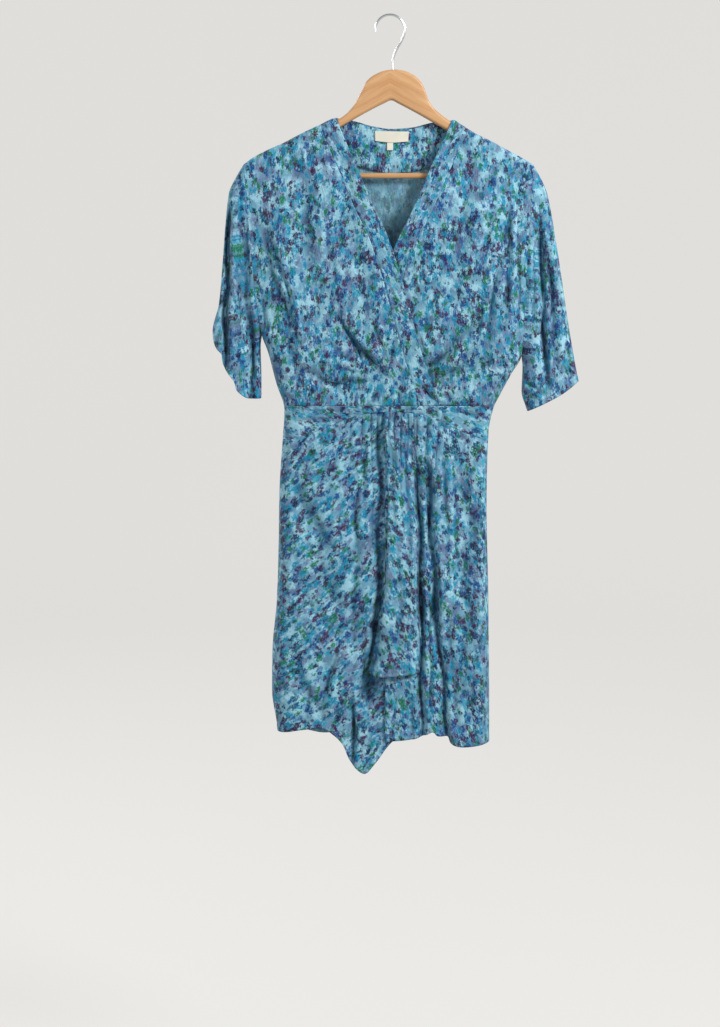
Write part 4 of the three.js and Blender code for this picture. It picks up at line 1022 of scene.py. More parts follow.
def paint_box(r, lot, paints):
    """The paint of a dab, drawn by lot. paints are pairs of a share, which add up to 1, and a colour"""
    ramp = r.add("ShaderNodeValToRGB", {"Fac": lot})
    ramp.color_ramp.interpolation = "CONSTANT"
    stops = ramp.color_ramp.elements
    while len(stops) < len(paints):
        stops.new(1.0)
    at = 0.0
    for stop, (share, colour) in zip(stops, paints):
        stop.position = at
        stop.color = linear(colour)
        at += share
    return ramp.outputs["Color"]


def printed_cloth(name):
    """Thin matt cloth with a blurred flower print: washes of pale blue and grey lavender under ragged dabs of
    turquoise, cobalt, green, plum and navy that crowd together in places. The inside shows the print more
    faintly, and painted shade darkens the cloth towards a dark teal where a fold or crease closes."""
    ink = bpy.context.scene.dress_print
    r = Recipe(name)
    at = r.add("ShaderNodeUVMap", uv_map="cloth").outputs[0]
    broad = r.noise(at, 42.0, 3.0, 0.6).outputs[0]
    crowd = r.noise(r.place(at, (5.1, 2.2, 0)), 38.0, 2.0).outputs[0]
    crowd_two = r.noise(r.place(at, (1.7, 8.2, 0)), 33.0, 2.0).outputs[0]
    dry = r.noise(r.place(at, scale=(1.0, 0.5, 1)), 520.0, 3.0, 0.7).outputs[0]
    colour = r.over(r.steps(broad, 0.36, 0.62), linear(ink.pale), linear(ink.ground))
    wide, tall = ink.stroke_width, ink.stroke_height

    def shared(base, cloud, swing):
        """A share of dabs that rises and falls with a cloud"""
        return r.steps(cloud, 0.32, 0.68, base - swing, base + swing)

    layers = (
        (2.0, 2.0, 1.0, shared(0.55, broad, 0.25), 0.46, 0.26, 1.0, 0.1, 0.85,
         ((0.7, ink.lavender), (0.3, ink.ground))),
        (1.05, 1.15, 2.0, shared(0.5, crowd_two, 0.2), 0.46, 0.1, 1.4, -0.1, 0.8,
         ((0.4, ink.lavender), (0.26, ink.pale), (0.14, ink.periwinkle), (0.2, ink.mist))),
        (1.0, 1.05, 3.0, shared(0.5, crowd, 0.26), 0.45, 0.055, 1.6, 0.15, 0.95,
         ((0.38, ink.turquoise), (0.25, ink.cobalt), (0.2, ink.green), (0.17, ink.teal))),
        (0.74, 0.8, 4.0, shared(0.38, crowd_two, 0.24), 0.44, 0.055, 1.5, -0.2, 0.95,
         ((0.26, ink.cobalt), (0.34, ink.turquoise), (0.18, ink.navy), (0.22, ink.green))),
        (0.84, 0.8, 5.0, shared(0.24, crowd, 0.26), 0.45, 0.055, 1.6, 0.1, 0.95,
         ((0.72, ink.plum), (0.28, ink.navy))),
        (0.42, 0.46, 6.0, shared(0.2, crowd_two, 0.12), 0.42, 0.1, 1.0, 0.0, 0.8,
         ((0.26, ink.navy), (0.16, ink.plum), (0.28, ink.turquoise), (0.3, ink.pale))),
    )
    deep_tint = (0.4, 0.45, 0.5, 1)
    # The dark teal that the painted shade darkens the cloth towards in closed folds and creases
    painted_shade_tint = (0.06, 0.2, 0.29, 1)
    for across, down, start, share, size, soft, ragged, lean, strength, paints in layers:
        dab, edge, lot = dabs(r, at, wide * across, tall * down, start, share, size, soft, ragged, lean)
        deep = r.steps(edge, 0.14, 0.4, 0.0, 0.7)
        paint = r.over(deep, paint_box(r, lot, paints), deep_tint, "MULTIPLY")
        thin = r.steps(dry, 0.3, 0.5, 0.3, 1.0)
        colour = r.over(r.sum("MULTIPLY", r.sum("MULTIPLY", dab, thin), strength), colour, paint)
    inside = r.add("ShaderNodeAttribute", attribute_name="inside").outputs["Fac"]
    colour = r.over(r.sum("MULTIPLY", inside, 0.4), colour, linear(ink.pale))
    thread = r.noise(r.place(at, scale=(1.0, 0.22, 1)), 2600.0, 2.0).outputs[0]
    tone = r.steps(thread, 0.2, 0.8, 0.93, 1.06)
    tones = r.add("ShaderNodeCombineColor", {"Red": tone, "Green": tone, "Blue": tone}).outputs[0]
    colour = r.over(1.0, colour, tones, "MULTIPLY")
    # Painted shade: the cloth is darkened towards that teal by the painted shade mark
    painted_shade = r.add("ShaderNodeAttribute", attribute_name="painted_shade").outputs["Fac"]
    colour = r.over(r.sum("MULTIPLY", painted_shade, ink.crease_shade), colour, painted_shade_tint, "MULTIPLY")
    rough = r.noise(at, 900.0, 2.0).outputs[0]
    crush = r.noise(r.place(at, scale=(1.0, 0.32, 1)), 215.0, 4.0, 0.62, distortion=0.8).outputs[0]
    weave = r.noise(r.place(at, scale=(1.0, 0.3, 1)), 2200.0, 1.0).outputs[0]
    height = r.sum("ADD", r.sum("MULTIPLY", crush, 0.9), r.sum("MULTIPLY", weave, 0.1))
    return r.finish({
        "Base Color": colour, "Roughness": r.steps(rough, 0.2, 0.8, 0.62, 0.84), "Specular IOR Level": 0.28,
        "Sheen Weight": 0.1, "Sheen Roughness": 0.5, "Normal": r.bump(height, 0.85, 0.0022),
    })


def viscose():
    """The printed cloth that the pieces share, made the first time it is asked for"""
    name = "printed viscose"
    return bpy.data.materials.get(name) or printed_cloth(name)


def plain_thread(name, colour):
    """Spun thread: one colour with a slight variation along it"""
    r = Recipe(name)
    at = r.add("ShaderNodeTexCoord").outputs["Object"]
    twist = r.noise(at, 900.0, 2.0, dimensions="3D").outputs[0]
    base = r.over(r.steps(twist, 0.3, 0.7), dimmed(linear(colour), 0.7), linear(colour))
    return r.finish({"Base Color": base, "Roughness": 0.75, "Sheen Weight": 0.2})


def woven_tape(name, colour):
    """Cream woven tape with its fine ribs, on the piece's own UV"""
    r = Recipe(name)
    uv = r.add("ShaderNodeUVMap", uv_map="cloth").outputs[0]
    rib, weft = (
        r.add("ShaderNodeTexWave", {
            "Vector": uv, "Scale": scale, "Distortion": distortion, "Detail": 1.0,
        }, bands_direction=direction).outputs["Fac"]
        for scale, distortion, direction in ((260.0, 0.6, "X"), (190.0, 0.5, "Y"))
    )
    age = r.noise(uv, 60.0, 3.0).outputs[0]
    aged = linear(tuple(c * 0.93 for c in colour))
    base = r.over(r.steps(age, 0.3, 0.7, 0.0, 0.5), linear(colour), aged)
    base = r.over(r.sum("MULTIPLY", rib, 0.35), base, dimmed(linear(colour), 0.8))
    return r.finish({
        "Base Color": base, "Roughness": 0.6, "Sheen Weight": 0.15,
        "Normal": r.bump(r.sum("ADD", rib, weft), 0.4, 0.0002),
    })


def beech_wood(name, along_arm):
    """Satin beech: long soft grain, short dark flecks and a slow change of tone, laid along the arms"""
    wood = bpy.context.scene.dress_hanger
    r = Recipe(name)
    at = r.add("ShaderNodeTexCoord").outputs["Object"]
    x, y, z = r.add("ShaderNodeSeparateXYZ", {"Vector": at}).outputs
    if along_arm:
        x = r.sum("ABSOLUTE", x)
    tilt = 0.48 if along_arm else 0.0
    cos = math.cos(tilt)
    sin = math.sin(tilt)
    length = r.sum("SUBTRACT", r.sum("MULTIPLY", x, cos), r.sum("MULTIPLY", z, sin))
    across = r.sum("ADD", r.sum("MULTIPLY", x, sin), r.sum("MULTIPLY", z, cos))
    grain_at = r.add("ShaderNodeCombineXYZ", {"X": length, "Y": y, "Z": across}).outputs[0]
    rings = r.noise(r.place(grain_at, scale=(1.6, 16, 34)), 5.0, 4.0, 0.55, "3D", 0.5).outputs[0]
    streak = r.noise(r.place(grain_at, scale=(9, 160, 300)), 2.2, 3.0, 0.6, "3D").outputs[0]
    fleck = r.noise(r.place(grain_at, scale=(90, 420, 900)), 1.7, 1.0, 0.5, "3D").outputs[0]
    colour = r.over(r.steps(rings, 0.34, 0.68), linear(wood.beech_light), linear(wood.beech_dark))
    colour = r.over(r.sum("MULTIPLY", r.steps(streak, 0.45, 0.75), 0.5), colour, linear(wood.beech_grain))
    colour = r.over(r.sum("MULTIPLY", r.steps(fleck, 0.66, 0.76), 0.55), colour, linear(wood.beech_grain))
    return r.finish({
        "Base Color": colour, "Roughness": r.steps(streak, 0.3, 0.7, 0.34, 0.48), "Specular IOR Level": 0.45,
        "Coat Weight": 0.2, "Coat Roughness": 0.3, "Normal": r.bump(streak, 0.25, 0.0003),
    })


def plated_wire(name):
    """Bright plated wire, with faint drawing marks and a slow change of gloss"""
    r = Recipe(name)
    at = r.add("ShaderNodeTexCoord").outputs["Object"]
    slow = r.noise(at, 90.0, 3.0, dimensions="3D").outputs[0]
    marks = r.noise(r.place(at, scale=(1, 1, 0.15)), 2400.0, 2.0, dimensions="3D").outputs[0]
    bright = linear(bpy.context.scene.dress_hanger.steel)
    return r.finish({
        "Base Color": r.over(r.steps(slow, 0.35, 0.65), bright, dimmed(bright, 0.86)), "Metallic": 1.0,
        "Roughness": r.steps(slow, 0.3, 0.7, 0.2, 0.34), "Normal": r.bump(marks, 0.12, 0.0001),
    })


def wall_paint(name):
    """Even matt paint with a slow change of tone, lit evenly from behind like a studio's light wall"""
    stage = bpy.context.scene.dress_stage
    r = Recipe(name)
    at = r.add("ShaderNodeTexCoord").outputs["Object"]
    slow = r.noise(at, 1.3, 2.0, dimensions="3D").outputs[0]
    light = linear(stage.floor_colour)
    base = dimmed(light, 0.3)
    r.material.cycles.emission_sampling = "NONE"
    return r.finish({
        "Base Color": r.over(slow, base, dimmed(base, 0.96)), "Roughness": 0.95, "Specular IOR Level": 0.0,
        "Emission Color": light, "Emission Strength": stage.wall_light,
    })


# Pieces
def row_width(outline, v):
    a = outline(np.zeros_like(v), v)
    b = outline(np.ones_like(v), v)
    return np.hypot(a[0] - b[0], a[1] - b[1])


WAIST_LEFT = (left_x(WAIST_Z), WAIST_Z)
WAIST_RIGHT = (right_x(WAIST_Z), WAIST_Z)
over_outline = patch(
    along_shoulder(SHOULDER_LEFT_X, LEFT_NECK[0]),
    straight(WAIST_LEFT, OVER_EDGE[-1]),
    along_side(left_x, SHOULDER_END_Z, WAIST_Z),
    path(OVER_EDGE),
)
under_outline = patch(
    along_shoulder(RIGHT_NECK[0], SHOULDER_RIGHT_X),
    straight(UNDER_EDGE[-1], WAIST_RIGHT),
    path(UNDER_EDGE),
    along_side(right_x, SHOULDER_END_Z, WAIST_Z),
)
back_outline = patch(
    along_shoulder(SHOULDER_LEFT_X, SHOULDER_RIGHT_X),
    straight(WAIST_LEFT, WAIST_RIGHT),
    along_side(left_x, SHOULDER_END_Z, WAIST_Z),
    along_side(right_x, SHOULDER_END_Z, WAIST_Z),
)
back_surface = drape(back_outline, back_wall_y)


def row_start(v):
    return 0 * v


def row_end(v):
    return 0 * v + 1


def over_seam(side):
    """The share of a row of the over front where its band is sewn on, half a seam to one side"""
    return lambda v: 1 + (side * SEAM / 2 - BAND_WIDTH) / row_width(over_outline, v)


def under_seam(side):
    """The same for the under front"""
    return lambda v: (side * SEAM / 2 + BAND_WIDTH) / row_width(under_outline, v)


def back_share(x):
    """How far a point is along the shoulders, from 0 to 1, which is its column on the back"""
    return (x - SHOULDER_LEFT_X) / (SHOULDER_RIGHT_X - SHOULDER_LEFT_X)


def rolled(y_at, edge_x, reach, depth, side):
    """Lets a free edge curl back: the cloth sinks by the square of how far it is into that reach"""

    def y(x, z):
        inward = (x - edge_x(z)) * side
        return y_at(x, z) + depth * clamp01(1 - inward / reach) ** 2

    return y


def build_bodice_fronts():
    """The two fronts and the bands along the V neck"""
    cloth = viscose()
    rows = shoulder_rows(150)
    band_columns = np.linspace(0, 1, 15)
    over = drape(between(over_outline, row_start, over_seam(-1)), over_wall_y)
    over_band = drape(between(over_outline, over_seam(1), row_end), over_wall_y)
    under = drape(between(under_outline, under_seam(1), row_end), under_wall_y)
    under_band = drape(between(under_outline, row_start, under_seam(-1)), under_wall_y)
    for name, node, surface, columns, turn, shift, hems, rests_on in (
        ("front_over_cloth", "bodice_front_over", over, spread_columns(124, 0.05, (True, False)),
         2, (0, 0), (), "hanger_body"),
        ("front_under_cloth", "bodice_front_under", under, spread_columns(118, 0.05, (False, True)),
         -3, (260, 340), (), "hanger_body"),
        ("band_over_cloth", "neck_band_over", over_band, band_columns,
         -22, (900, 100), ("right",), "front_over_cloth"),
        ("band_under_cloth", "neck_band_under", under_band, band_columns,
         24, (1400, 60), ("left",), "front_under_cloth"),
    ):
        made = cloth_shell(name, surface, columns, rows, -1, cloth, turn, shift, hems=hems,
                           shade=front_painted_shade)
        declare(made, node)
    thread = plain_thread("thread, neck bands", bpy.context.scene.dress_print.thread)
    v = np.linspace(0.03, 0.995, 400)
    near = 2.2 / BAND_WIDTH
    stitches("band_stitches", [
        line_on(over_band, 0 * v + near, v, -1, 0.42), line_on(over_band, 1 - near + 0 * v, v, -1, 0.7),
        line_on(under_band, 1 - near + 0 * v, v, -1, 0.42), line_on(under_band, near + 0 * v, v, -1, 0.7),
    ], thread)


def build_back():
    """The back, the facing inside its neck and the narrow binding along the neck edge"""
    cloth = viscose()
    near_neck = np.linspace(0, 0.02, 8)
    us = np.unique(np.concatenate([
        spread_columns(160, 0.03), back_share(LEFT_NECK[0]) + near_neck,
        back_share(RIGHT_NECK[0]) - near_neck,
    ]))
    declare(cloth_shell("back_cloth", back_surface, us, shoulder_rows(110), 1, cloth, 0, (0, 1500),
                        shade=back_painted_shade), "bodice_back")
    left, right, drop = -73.0, 87.0, 62.0

    def facing_y(x, z):
        """A layer before the back, and closer to it at both sides"""
        away = mix(0.42, 1, ease((x - left) / 7) * ease((right - x) / 7))
        return back_wall_y(x, z) - away * INNER_LAYER

    def top(t):
        x = mix(left, right, t)
        return x, shoulder_z(x) - 1

    def bottom(t):
        x, z = top(t)
        return x, z - drop

    corners = [edge(np.float64(t)) for edge in (top, bottom) for t in (0.0, 1.0)]
    facing = patch(top, bottom, straight(corners[0], corners[2]), straight(corners[1], corners[3]))
    facing_surface = drape(facing, facing_y)
    made = cloth_shell("facing_cloth", facing_surface, np.linspace(0, 1, 81), np.linspace(0, 1, 37), -1,
                       cloth, 0, (0, 2300), hems=("bottom",))
    declare(made, "back_neck_facing")
    u = np.linspace(0.01, 0.99, 120)
    thread = plain_thread("thread, facing", bpy.context.scene.dress_print.thread)
    stitches("facing_stitches", [
        line_on(facing_surface, u, share_from_end(facing_surface, u, 3.0), -1, 0.7),
        line_on(back_surface, back_share(mix(-66, 80, u)), 0 * u + 0.018, 1, 0.42),
    ], thread)
    build_neck_binding()


def build_neck_binding():
    """A narrow binding rolled over the back neck edge: a small oval carried along the edge"""
    sides = 14
    stations = 150
    x = np.linspace(-71, 85, stations)
    rim = np.stack([x, back_wall_y(x, shoulder_z(x) - 0.8) - 0.45, shoulder_z(x) - 0.4], -1)
    forward = np.gradient(rim, axis=0)
    forward /= np.linalg.norm(forward, axis=1, keepdims=True)
    up = np.array([0.0, 0.0, 1.0])
    across = np.cross(forward, up)
    across /= np.linalg.norm(across, axis=1, keepdims=True)
    upright = np.cross(across, forward)
    angle = np.linspace(0, 2 * math.pi, sides + 1)
    from_end = np.minimum(np.arange(stations), np.arange(stations)[::-1])
    fade = np.minimum(1, from_end / 6) ** 0.5
    ring = (
        np.cos(angle)[None, :, None] * across[:, None, :] * BINDING_HALF[0]
        + np.sin(angle)[None, :, None] * upright[:, None, :] * BINDING_HALF[1]
    ) * fade[:, None, None]
    grid = rim[:, None, :] + ring
    points = grid[:, :-1].reshape(-1, 3)
    faces, j, i = tube_faces(stations, sides)
    lengths = lengths_along(rim, 0)
    around = 0.65
    corner = [np.stack([lengths[j + a], (i + b) * around], -1) for a, b in ((0, 0), (1, 0), (1, 1), (0, 1))]
    faces, uvs = faced_out(points, faces, np.stack(corner, -2).reshape(-1, 2), rim[j.ravel()])
    # The whole binding is darkened evenly, by the same teal mix as the painted shade in closed creases
    made = mesh_object("neck_binding", points, faces, uvs, viscose(), {"painted_shade": np.full(len(points), 0.45)})
    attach(made, "root")


def build_labels():
    """The blank label and the blank size tab, with the stitches that hold them"""
    tape = woven_tape("cream woven tape", bpy.context.scene.dress_print.label)

    def facing_front_y(x, z):
        return back_wall_y(x, z) - 2 * INNER_LAYER

    def label_y(x, z):
        """The label bulges slightly in the middle"""
        return facing_front_y(x, z) - 0.7 * np.sin(np.pi * clamp01((x + 22) / 50))

    def tab_y(x, z):
        """The tab's lower end stands off slightly"""
        return facing_front_y(x, z) - 0.5 * ease((-180.5 - z) / 9)

    label = patch(straight(*LABEL_TOP), path(LABEL_FOOT), straight(LABEL_TOP[0], LABEL_FOOT[0]),
                  straight(LABEL_TOP[1], LABEL_FOOT[-1]))
    label_surface = drape(label, label_y)
    made = cloth_shell("neck_label_tape", label_surface, np.linspace(0, 1, 49), np.linspace(0, 1, 17), -1,
                       tape)
    declare(made, "neck_label")
    tab = patch(straight(*TAB_TOP), straight(*TAB_FOOT), straight(TAB_TOP[0], TAB_FOOT[0]),
                straight(TAB_TOP[1], TAB_FOOT[1]))
    made = cloth_shell("size_tab_tape", drape(tab, tab_y), np.linspace(0, 1, 13), np.linspace(0, 1, 15), -1,
                       tape)
    declare(made, "size_tab")
    v = np.linspace(0.06, 0.94, 30)
    thread = plain_thread("thread, label", bpy.context.scene.dress_print.label)
    stitches("label_stitches", [
        line_on(label_surface, 0.03 + 0 * v, v, -1, 0.42), line_on(label_surface, 0.97 + 0 * v, v, -1, 0.42),
    ], thread, pitch=2.2, length=1.5, thick=0.35)


def sleeve_surface(edges, folds, creases, side, seed):
    """A tube from the armhole to the hem, folded flat: across goes out and back as u goes once round"""
    out = -side.inward

    def height_at(t):
        return mix(side.top, side.armpit, t)

    def armhole(t):
        return side.edge(height_at(t)) + out * mix(SEAM, ARMPIT_CLEAR, ease(t * 2 - 0.6)), height_at(t)

    def moved(points, by):
        return [(x + out * by, z) for x, z in points]

    outline = patch(armhole, path(moved(edges["hem"], SEAM)), path(moved(edges["outer"], SEAM)),
                    path(moved(edges["inner"], ARMPIT_CLEAR)))

    def surface(u, v):
        front = u < 0.5
        turn = np.where(front, u * 2, (1 - u) * 2)
        across = (1 - np.cos(np.pi * turn)) / 2
        x, z = outline(across, v)
        hem = SLEEVE_HALF * super_round(across, 2.6)
        half = mix(armhole_half(side, height_at(across)), hem, ease(v * 1.4))
        hold = ease(v / 0.25) * ease(across / 0.12) * ease((1 - across) / 0.12)
        fine_hold = ease(v / 0.08) * ease(across / 0.06) * ease((1 - across) / 0.06)
        pressed = fold_depth(folds, x, z) * hold
        front_fine = (crease_depth(creases, x, z) + crinkle(x, z, seed)) * fine_hold
        back_creases = 0.5 * crease_depth(creases, x + BACK_CREASES_OUT, z)
        back_fine = (back_creases + crinkle(x, z, seed + 5)) * fine_hold
        y = np.where(front, -half + pressed + front_fine, half - pressed / 2 - back_fine)
        return np.stack([x, y, z], axis=-1)

    return surface


def build_sleeves():
    """The two sleeves, each a folded tube with a stitched hem"""
    cloth = viscose()
    runs = []
    for name, edges, folds, creases, side, seed, turn in (
        ("left", LEFT_SLEEVE, LEFT_SLEEVE_FOLDS, LEFT_SLEEVE_CREASES, LEFT, 51, 6),
        ("right", RIGHT_SLEEVE, RIGHT_SLEEVE_FOLDS, RIGHT_SLEEVE_CREASES, RIGHT, 71, -8),
    ):
        surface = sleeve_surface(edges, folds, creases, side, seed)

        def sleeve_painted_shade(middle, folds=folds, creases=creases):
            """Painted shade of a sleeve's folds and creases: the front shows its own, and the back half as
            much, further out
            """
            x, z = middle[..., 0], middle[..., 2]
            behind = 0.5 * shade_in(folds, creases, x + BACK_CREASES_OUT, z)
            return np.where(middle[..., 1] < 0, shade_in(folds, creases, x, z), behind)

        rows = np.linspace(0, 1, 113) ** 1.1
        outward = -side.inward
        made = cloth_shell("sleeve_%s_cloth" % name, surface, np.linspace(0, 1, 181), rows, outward, cloth,
                           turn, (0, seed * 31), ring=True, hems=("bottom",), shade=sleeve_painted_shade)
        declare(made, "sleeve_" + name)
        u = np.linspace(0.002, 0.998, 500)
        drop = bpy.context.scene.dress_cloth.hem_width / MM - 1
        runs.append(line_on(surface, u, share_from_end(surface, u, drop), outward, 0.72))
    stitches("sleeve_stitches", runs, plain_thread("thread, sleeves", bpy.context.scene.dress_print.thread))


def build_waistbands():
    """The shaped waistband in front and the straight one behind"""
    top = straight((WAIST_LEFT[0], WAIST_Z - SEAM), (WAIST_RIGHT[0], WAIST_Z - SEAM))
    left_edge = along_side(left_x, WAIST_Z - SEAM, BACK_WAIST_Z)
    right_edge = along_side(right_x, WAIST_Z - SEAM, BACK_WAIST_Z)
    front = patch(top, along_arch(WAIST_ARCH[0][0], WAIST_ARCH[-1][0]), left_edge, right_edge)
    behind = patch(top, straight((left_x(BACK_WAIST_Z), BACK_WAIST_Z), (right_x(BACK_WAIST_Z), BACK_WAIST_Z)),
                   left_edge, right_edge)
    cloth = viscose()
    us = spread_columns(170, 0.04)

    def band_y(x, z):
        return before_seam(front_y(x, z) + gather_depth(x, z))

    made = cloth_shell("waistband_front_cloth", drape(front, band_y), us, np.linspace(0, 1, 35), -1, cloth,
                       -70, (0, 2900), shade=front_painted_shade)
    declare(made, "waistband_front")
    made = cloth_shell("waistband_back_cloth", drape(behind, back_wall_y), us, np.linspace(0, 1, 31), 1,
                       cloth, 80, (400, 3100), shade=back_painted_shade)
    declare(made, "waistband_back")


def skirt_surfaces():
    """The middle surfaces of the skirt's three front pieces and its back"""
    seam_left = (left_x(BACK_WAIST_Z), BACK_WAIST_Z - SEAM)
    seam_right = (right_x(BACK_WAIST_Z), BACK_WAIST_Z - SEAM)

    def seam_z(x):
        return arch_z(x) - SEAM

    left = patch(along_arch(seam_left[0], 12, SEAM), path(LEFT_HEM),
                 along_side(left_x, seam_left[1], LEFT_HEM[0][1]), straight((12, seam_z(12)), LEFT_HEM[-1]))
    right = patch(along_arch(-6, seam_right[0], SEAM), path(RIGHT_HEM),
                  straight((-6, seam_z(-6)), RIGHT_HEM[0]),
                  along_side(right_x, seam_right[1], RIGHT_HEM[-1][1]))
    flap = patch(
        along_arch(FLAP_EDGE[0][0], FLAP_FOLD[0][0], SEAM), path(FLAP_HEM),
        path([(FLAP_EDGE[0][0], seam_z(FLAP_EDGE[0][0]))] + list(FLAP_EDGE[1:])),
        path([(FLAP_FOLD[0][0], seam_z(FLAP_FOLD[0][0]))] + list(FLAP_FOLD[1:])),
    )
    back_top = BACK_WAIST_Z - SEAM
    hem_left, hem_right = BACK_HEM_Z
    back = patch(
        straight((left_x(back_top), back_top), (right_x(back_top), back_top)),
        path([(left_x(hem_left), hem_left), (-90, -1072), (60, -1072), (right_x(hem_right), hem_right)]),
        along_side(left_x, back_top, hem_left), along_side(right_x, back_top, hem_right),
    )

    def left_y(x, z):
        shows = ease((FLAP_EDGE[0][0] + 2 - x) / 10)
        return before_seam(front_y(x, z) + gather_depth(x, z) * shows + LAYER * ease((x + 60) / 50))

    def right_y(x, z):
        return before_seam(front_y(x, z) + gather_depth(x, z) * ease((x - FLAP_FOLD[0][0]) / 8))

    def flap_y(x, z):
        stand = LAYER + 1 + 6 * ease((-600 - z) / 330) * ease((60 - x) / 40)
        return front_y(x, z) + gather_depth(x, z) - stand

    flap_fold_x = smooth_through(column(FLAP_FOLD, 1), column(FLAP_FOLD, 0))
    flap_shaped = rolled(rolled(flap_y, flap_edge_x, 5.0, 2.4, 1), flap_fold_x, 7.0, 2.2, -1)
    return {
        "left": drape(left, left_y),
        "right": drape(right, right_y),
        "flap": drape(flap, flap_shaped),
        "back": drape(back, back_wall_y),
    }


def build_skirt():
    """The skirt's bias panel with its tip, its right panel, the flap over them and the back, all hemmed"""
    surface = skirt_surfaces()
    pieces = (
        ("left", "skirt_front_left", -1, spread_columns(136, 0.05, (True, False), (0.55, 0.82, 0.9)), 186, 44,
         (0, 4100)),
        ("right", "skirt_front_right", -1, spread_columns(150, 0.05, (False, True), (0.28, 0.66, 1.6)), 180,
         -14, (0, 5200)),
        ("flap", "skirt_front_flap", -1, np.linspace(0, 1, 49), 150, -20, (700, 5600)),
        ("back", "skirt_back", 1, spread_columns(150, 0.05), 130, 4, (0, 6300)),
    )
    runs = []
    drop = bpy.context.scene.dress_cloth.hem_width / MM - 1
    cloth = viscose()
    for name, node, outward, us, rows, turn, shift in pieces:
        shade = back_painted_shade if name == "back" else front_painted_shade
        made = cloth_shell("skirt_%s_cloth" % name, surface[name], us, np.linspace(0, 1, rows + 1), outward,
                           cloth, turn, shift, hems=("bottom",), shade=shade)
        declare(made, node)
        u = np.linspace(0.01, 0.99, 300)
        runs.append(line_on(surface[name], u, share_from_end(surface[name], u, drop), outward, 0.72))
    stitches("skirt_stitches", runs, plain_thread("thread, skirt", bpy.context.scene.dress_print.thread))


def build_hanger():
    """The hanger's board, with every edge rounded, and better finishes for its bar and hook. Each station
    along the board is a rounded oblong that reaches from its lower edge to its upper edge."""
    stations = 300
    even = np.linspace(0, 1, stations)
    share = mix(even, (1 - np.cos(even * math.pi)) / 2, 0.35)
    x = mix(HANGER_TOP[0][0], HANGER_TOP[-1][0], share)

    def edge_z(rows):
        points = np.asarray(rows, float)
        return smooth_through(points[:, 0], points[:, 1])(x)

    top, under = edge_z(HANGER_TOP), edge_z(HANGER_UNDER)
    rise = np.maximum(top - under, 0.02)
    corner = np.minimum(BOARD_ROUND, 0.48 * rise)
    half = BOARD_HALF * np.minimum(1, rise / 8) ** 0.5
    corner_y = np.minimum(corner, half)
    angle = np.radians(np.linspace(0, 90, 6))
    z_parts = []
    y_parts = []
    for quarter, (up, out) in enumerate(((1, 1), (1, -1), (-1, -1), (-1, 1))):
        turn = angle if quarter % 2 else angle[::-1]
        z_parts.append(up * ((rise / 2 - corner)[:, None] + corner[:, None] * np.cos(turn)))
        y_parts.append(out * ((half - corner_y)[:, None] + corner_y[:, None] * np.sin(turn)))
    z = np.concatenate(z_parts, axis=1) + ((top + under) / 2)[:, None]
    y = np.concatenate(y_parts, axis=1)
    sides = z.shape[1]
    points = np.stack([np.repeat(x[:, None], sides, 1), y, z], -1).reshape(-1, 3)
    faces = tube_faces(stations, sides)[0]
    faces, uvs = faced_out(points, faces, np.zeros((faces.size, 2)), (0, 0, -170))
    board = mesh_object("hanger_board", points, faces, uvs, beech_wood("satin beech, board", True))
    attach(board, "root")
    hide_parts("hanger_body")
    for node, material in (
        ("hanger_bar", beech_wood("satin beech, bar", False)),
        ("hanger_hook", plated_wire("plated wire")),
    ):
        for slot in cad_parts[node].material_slots:
            slot.material = material


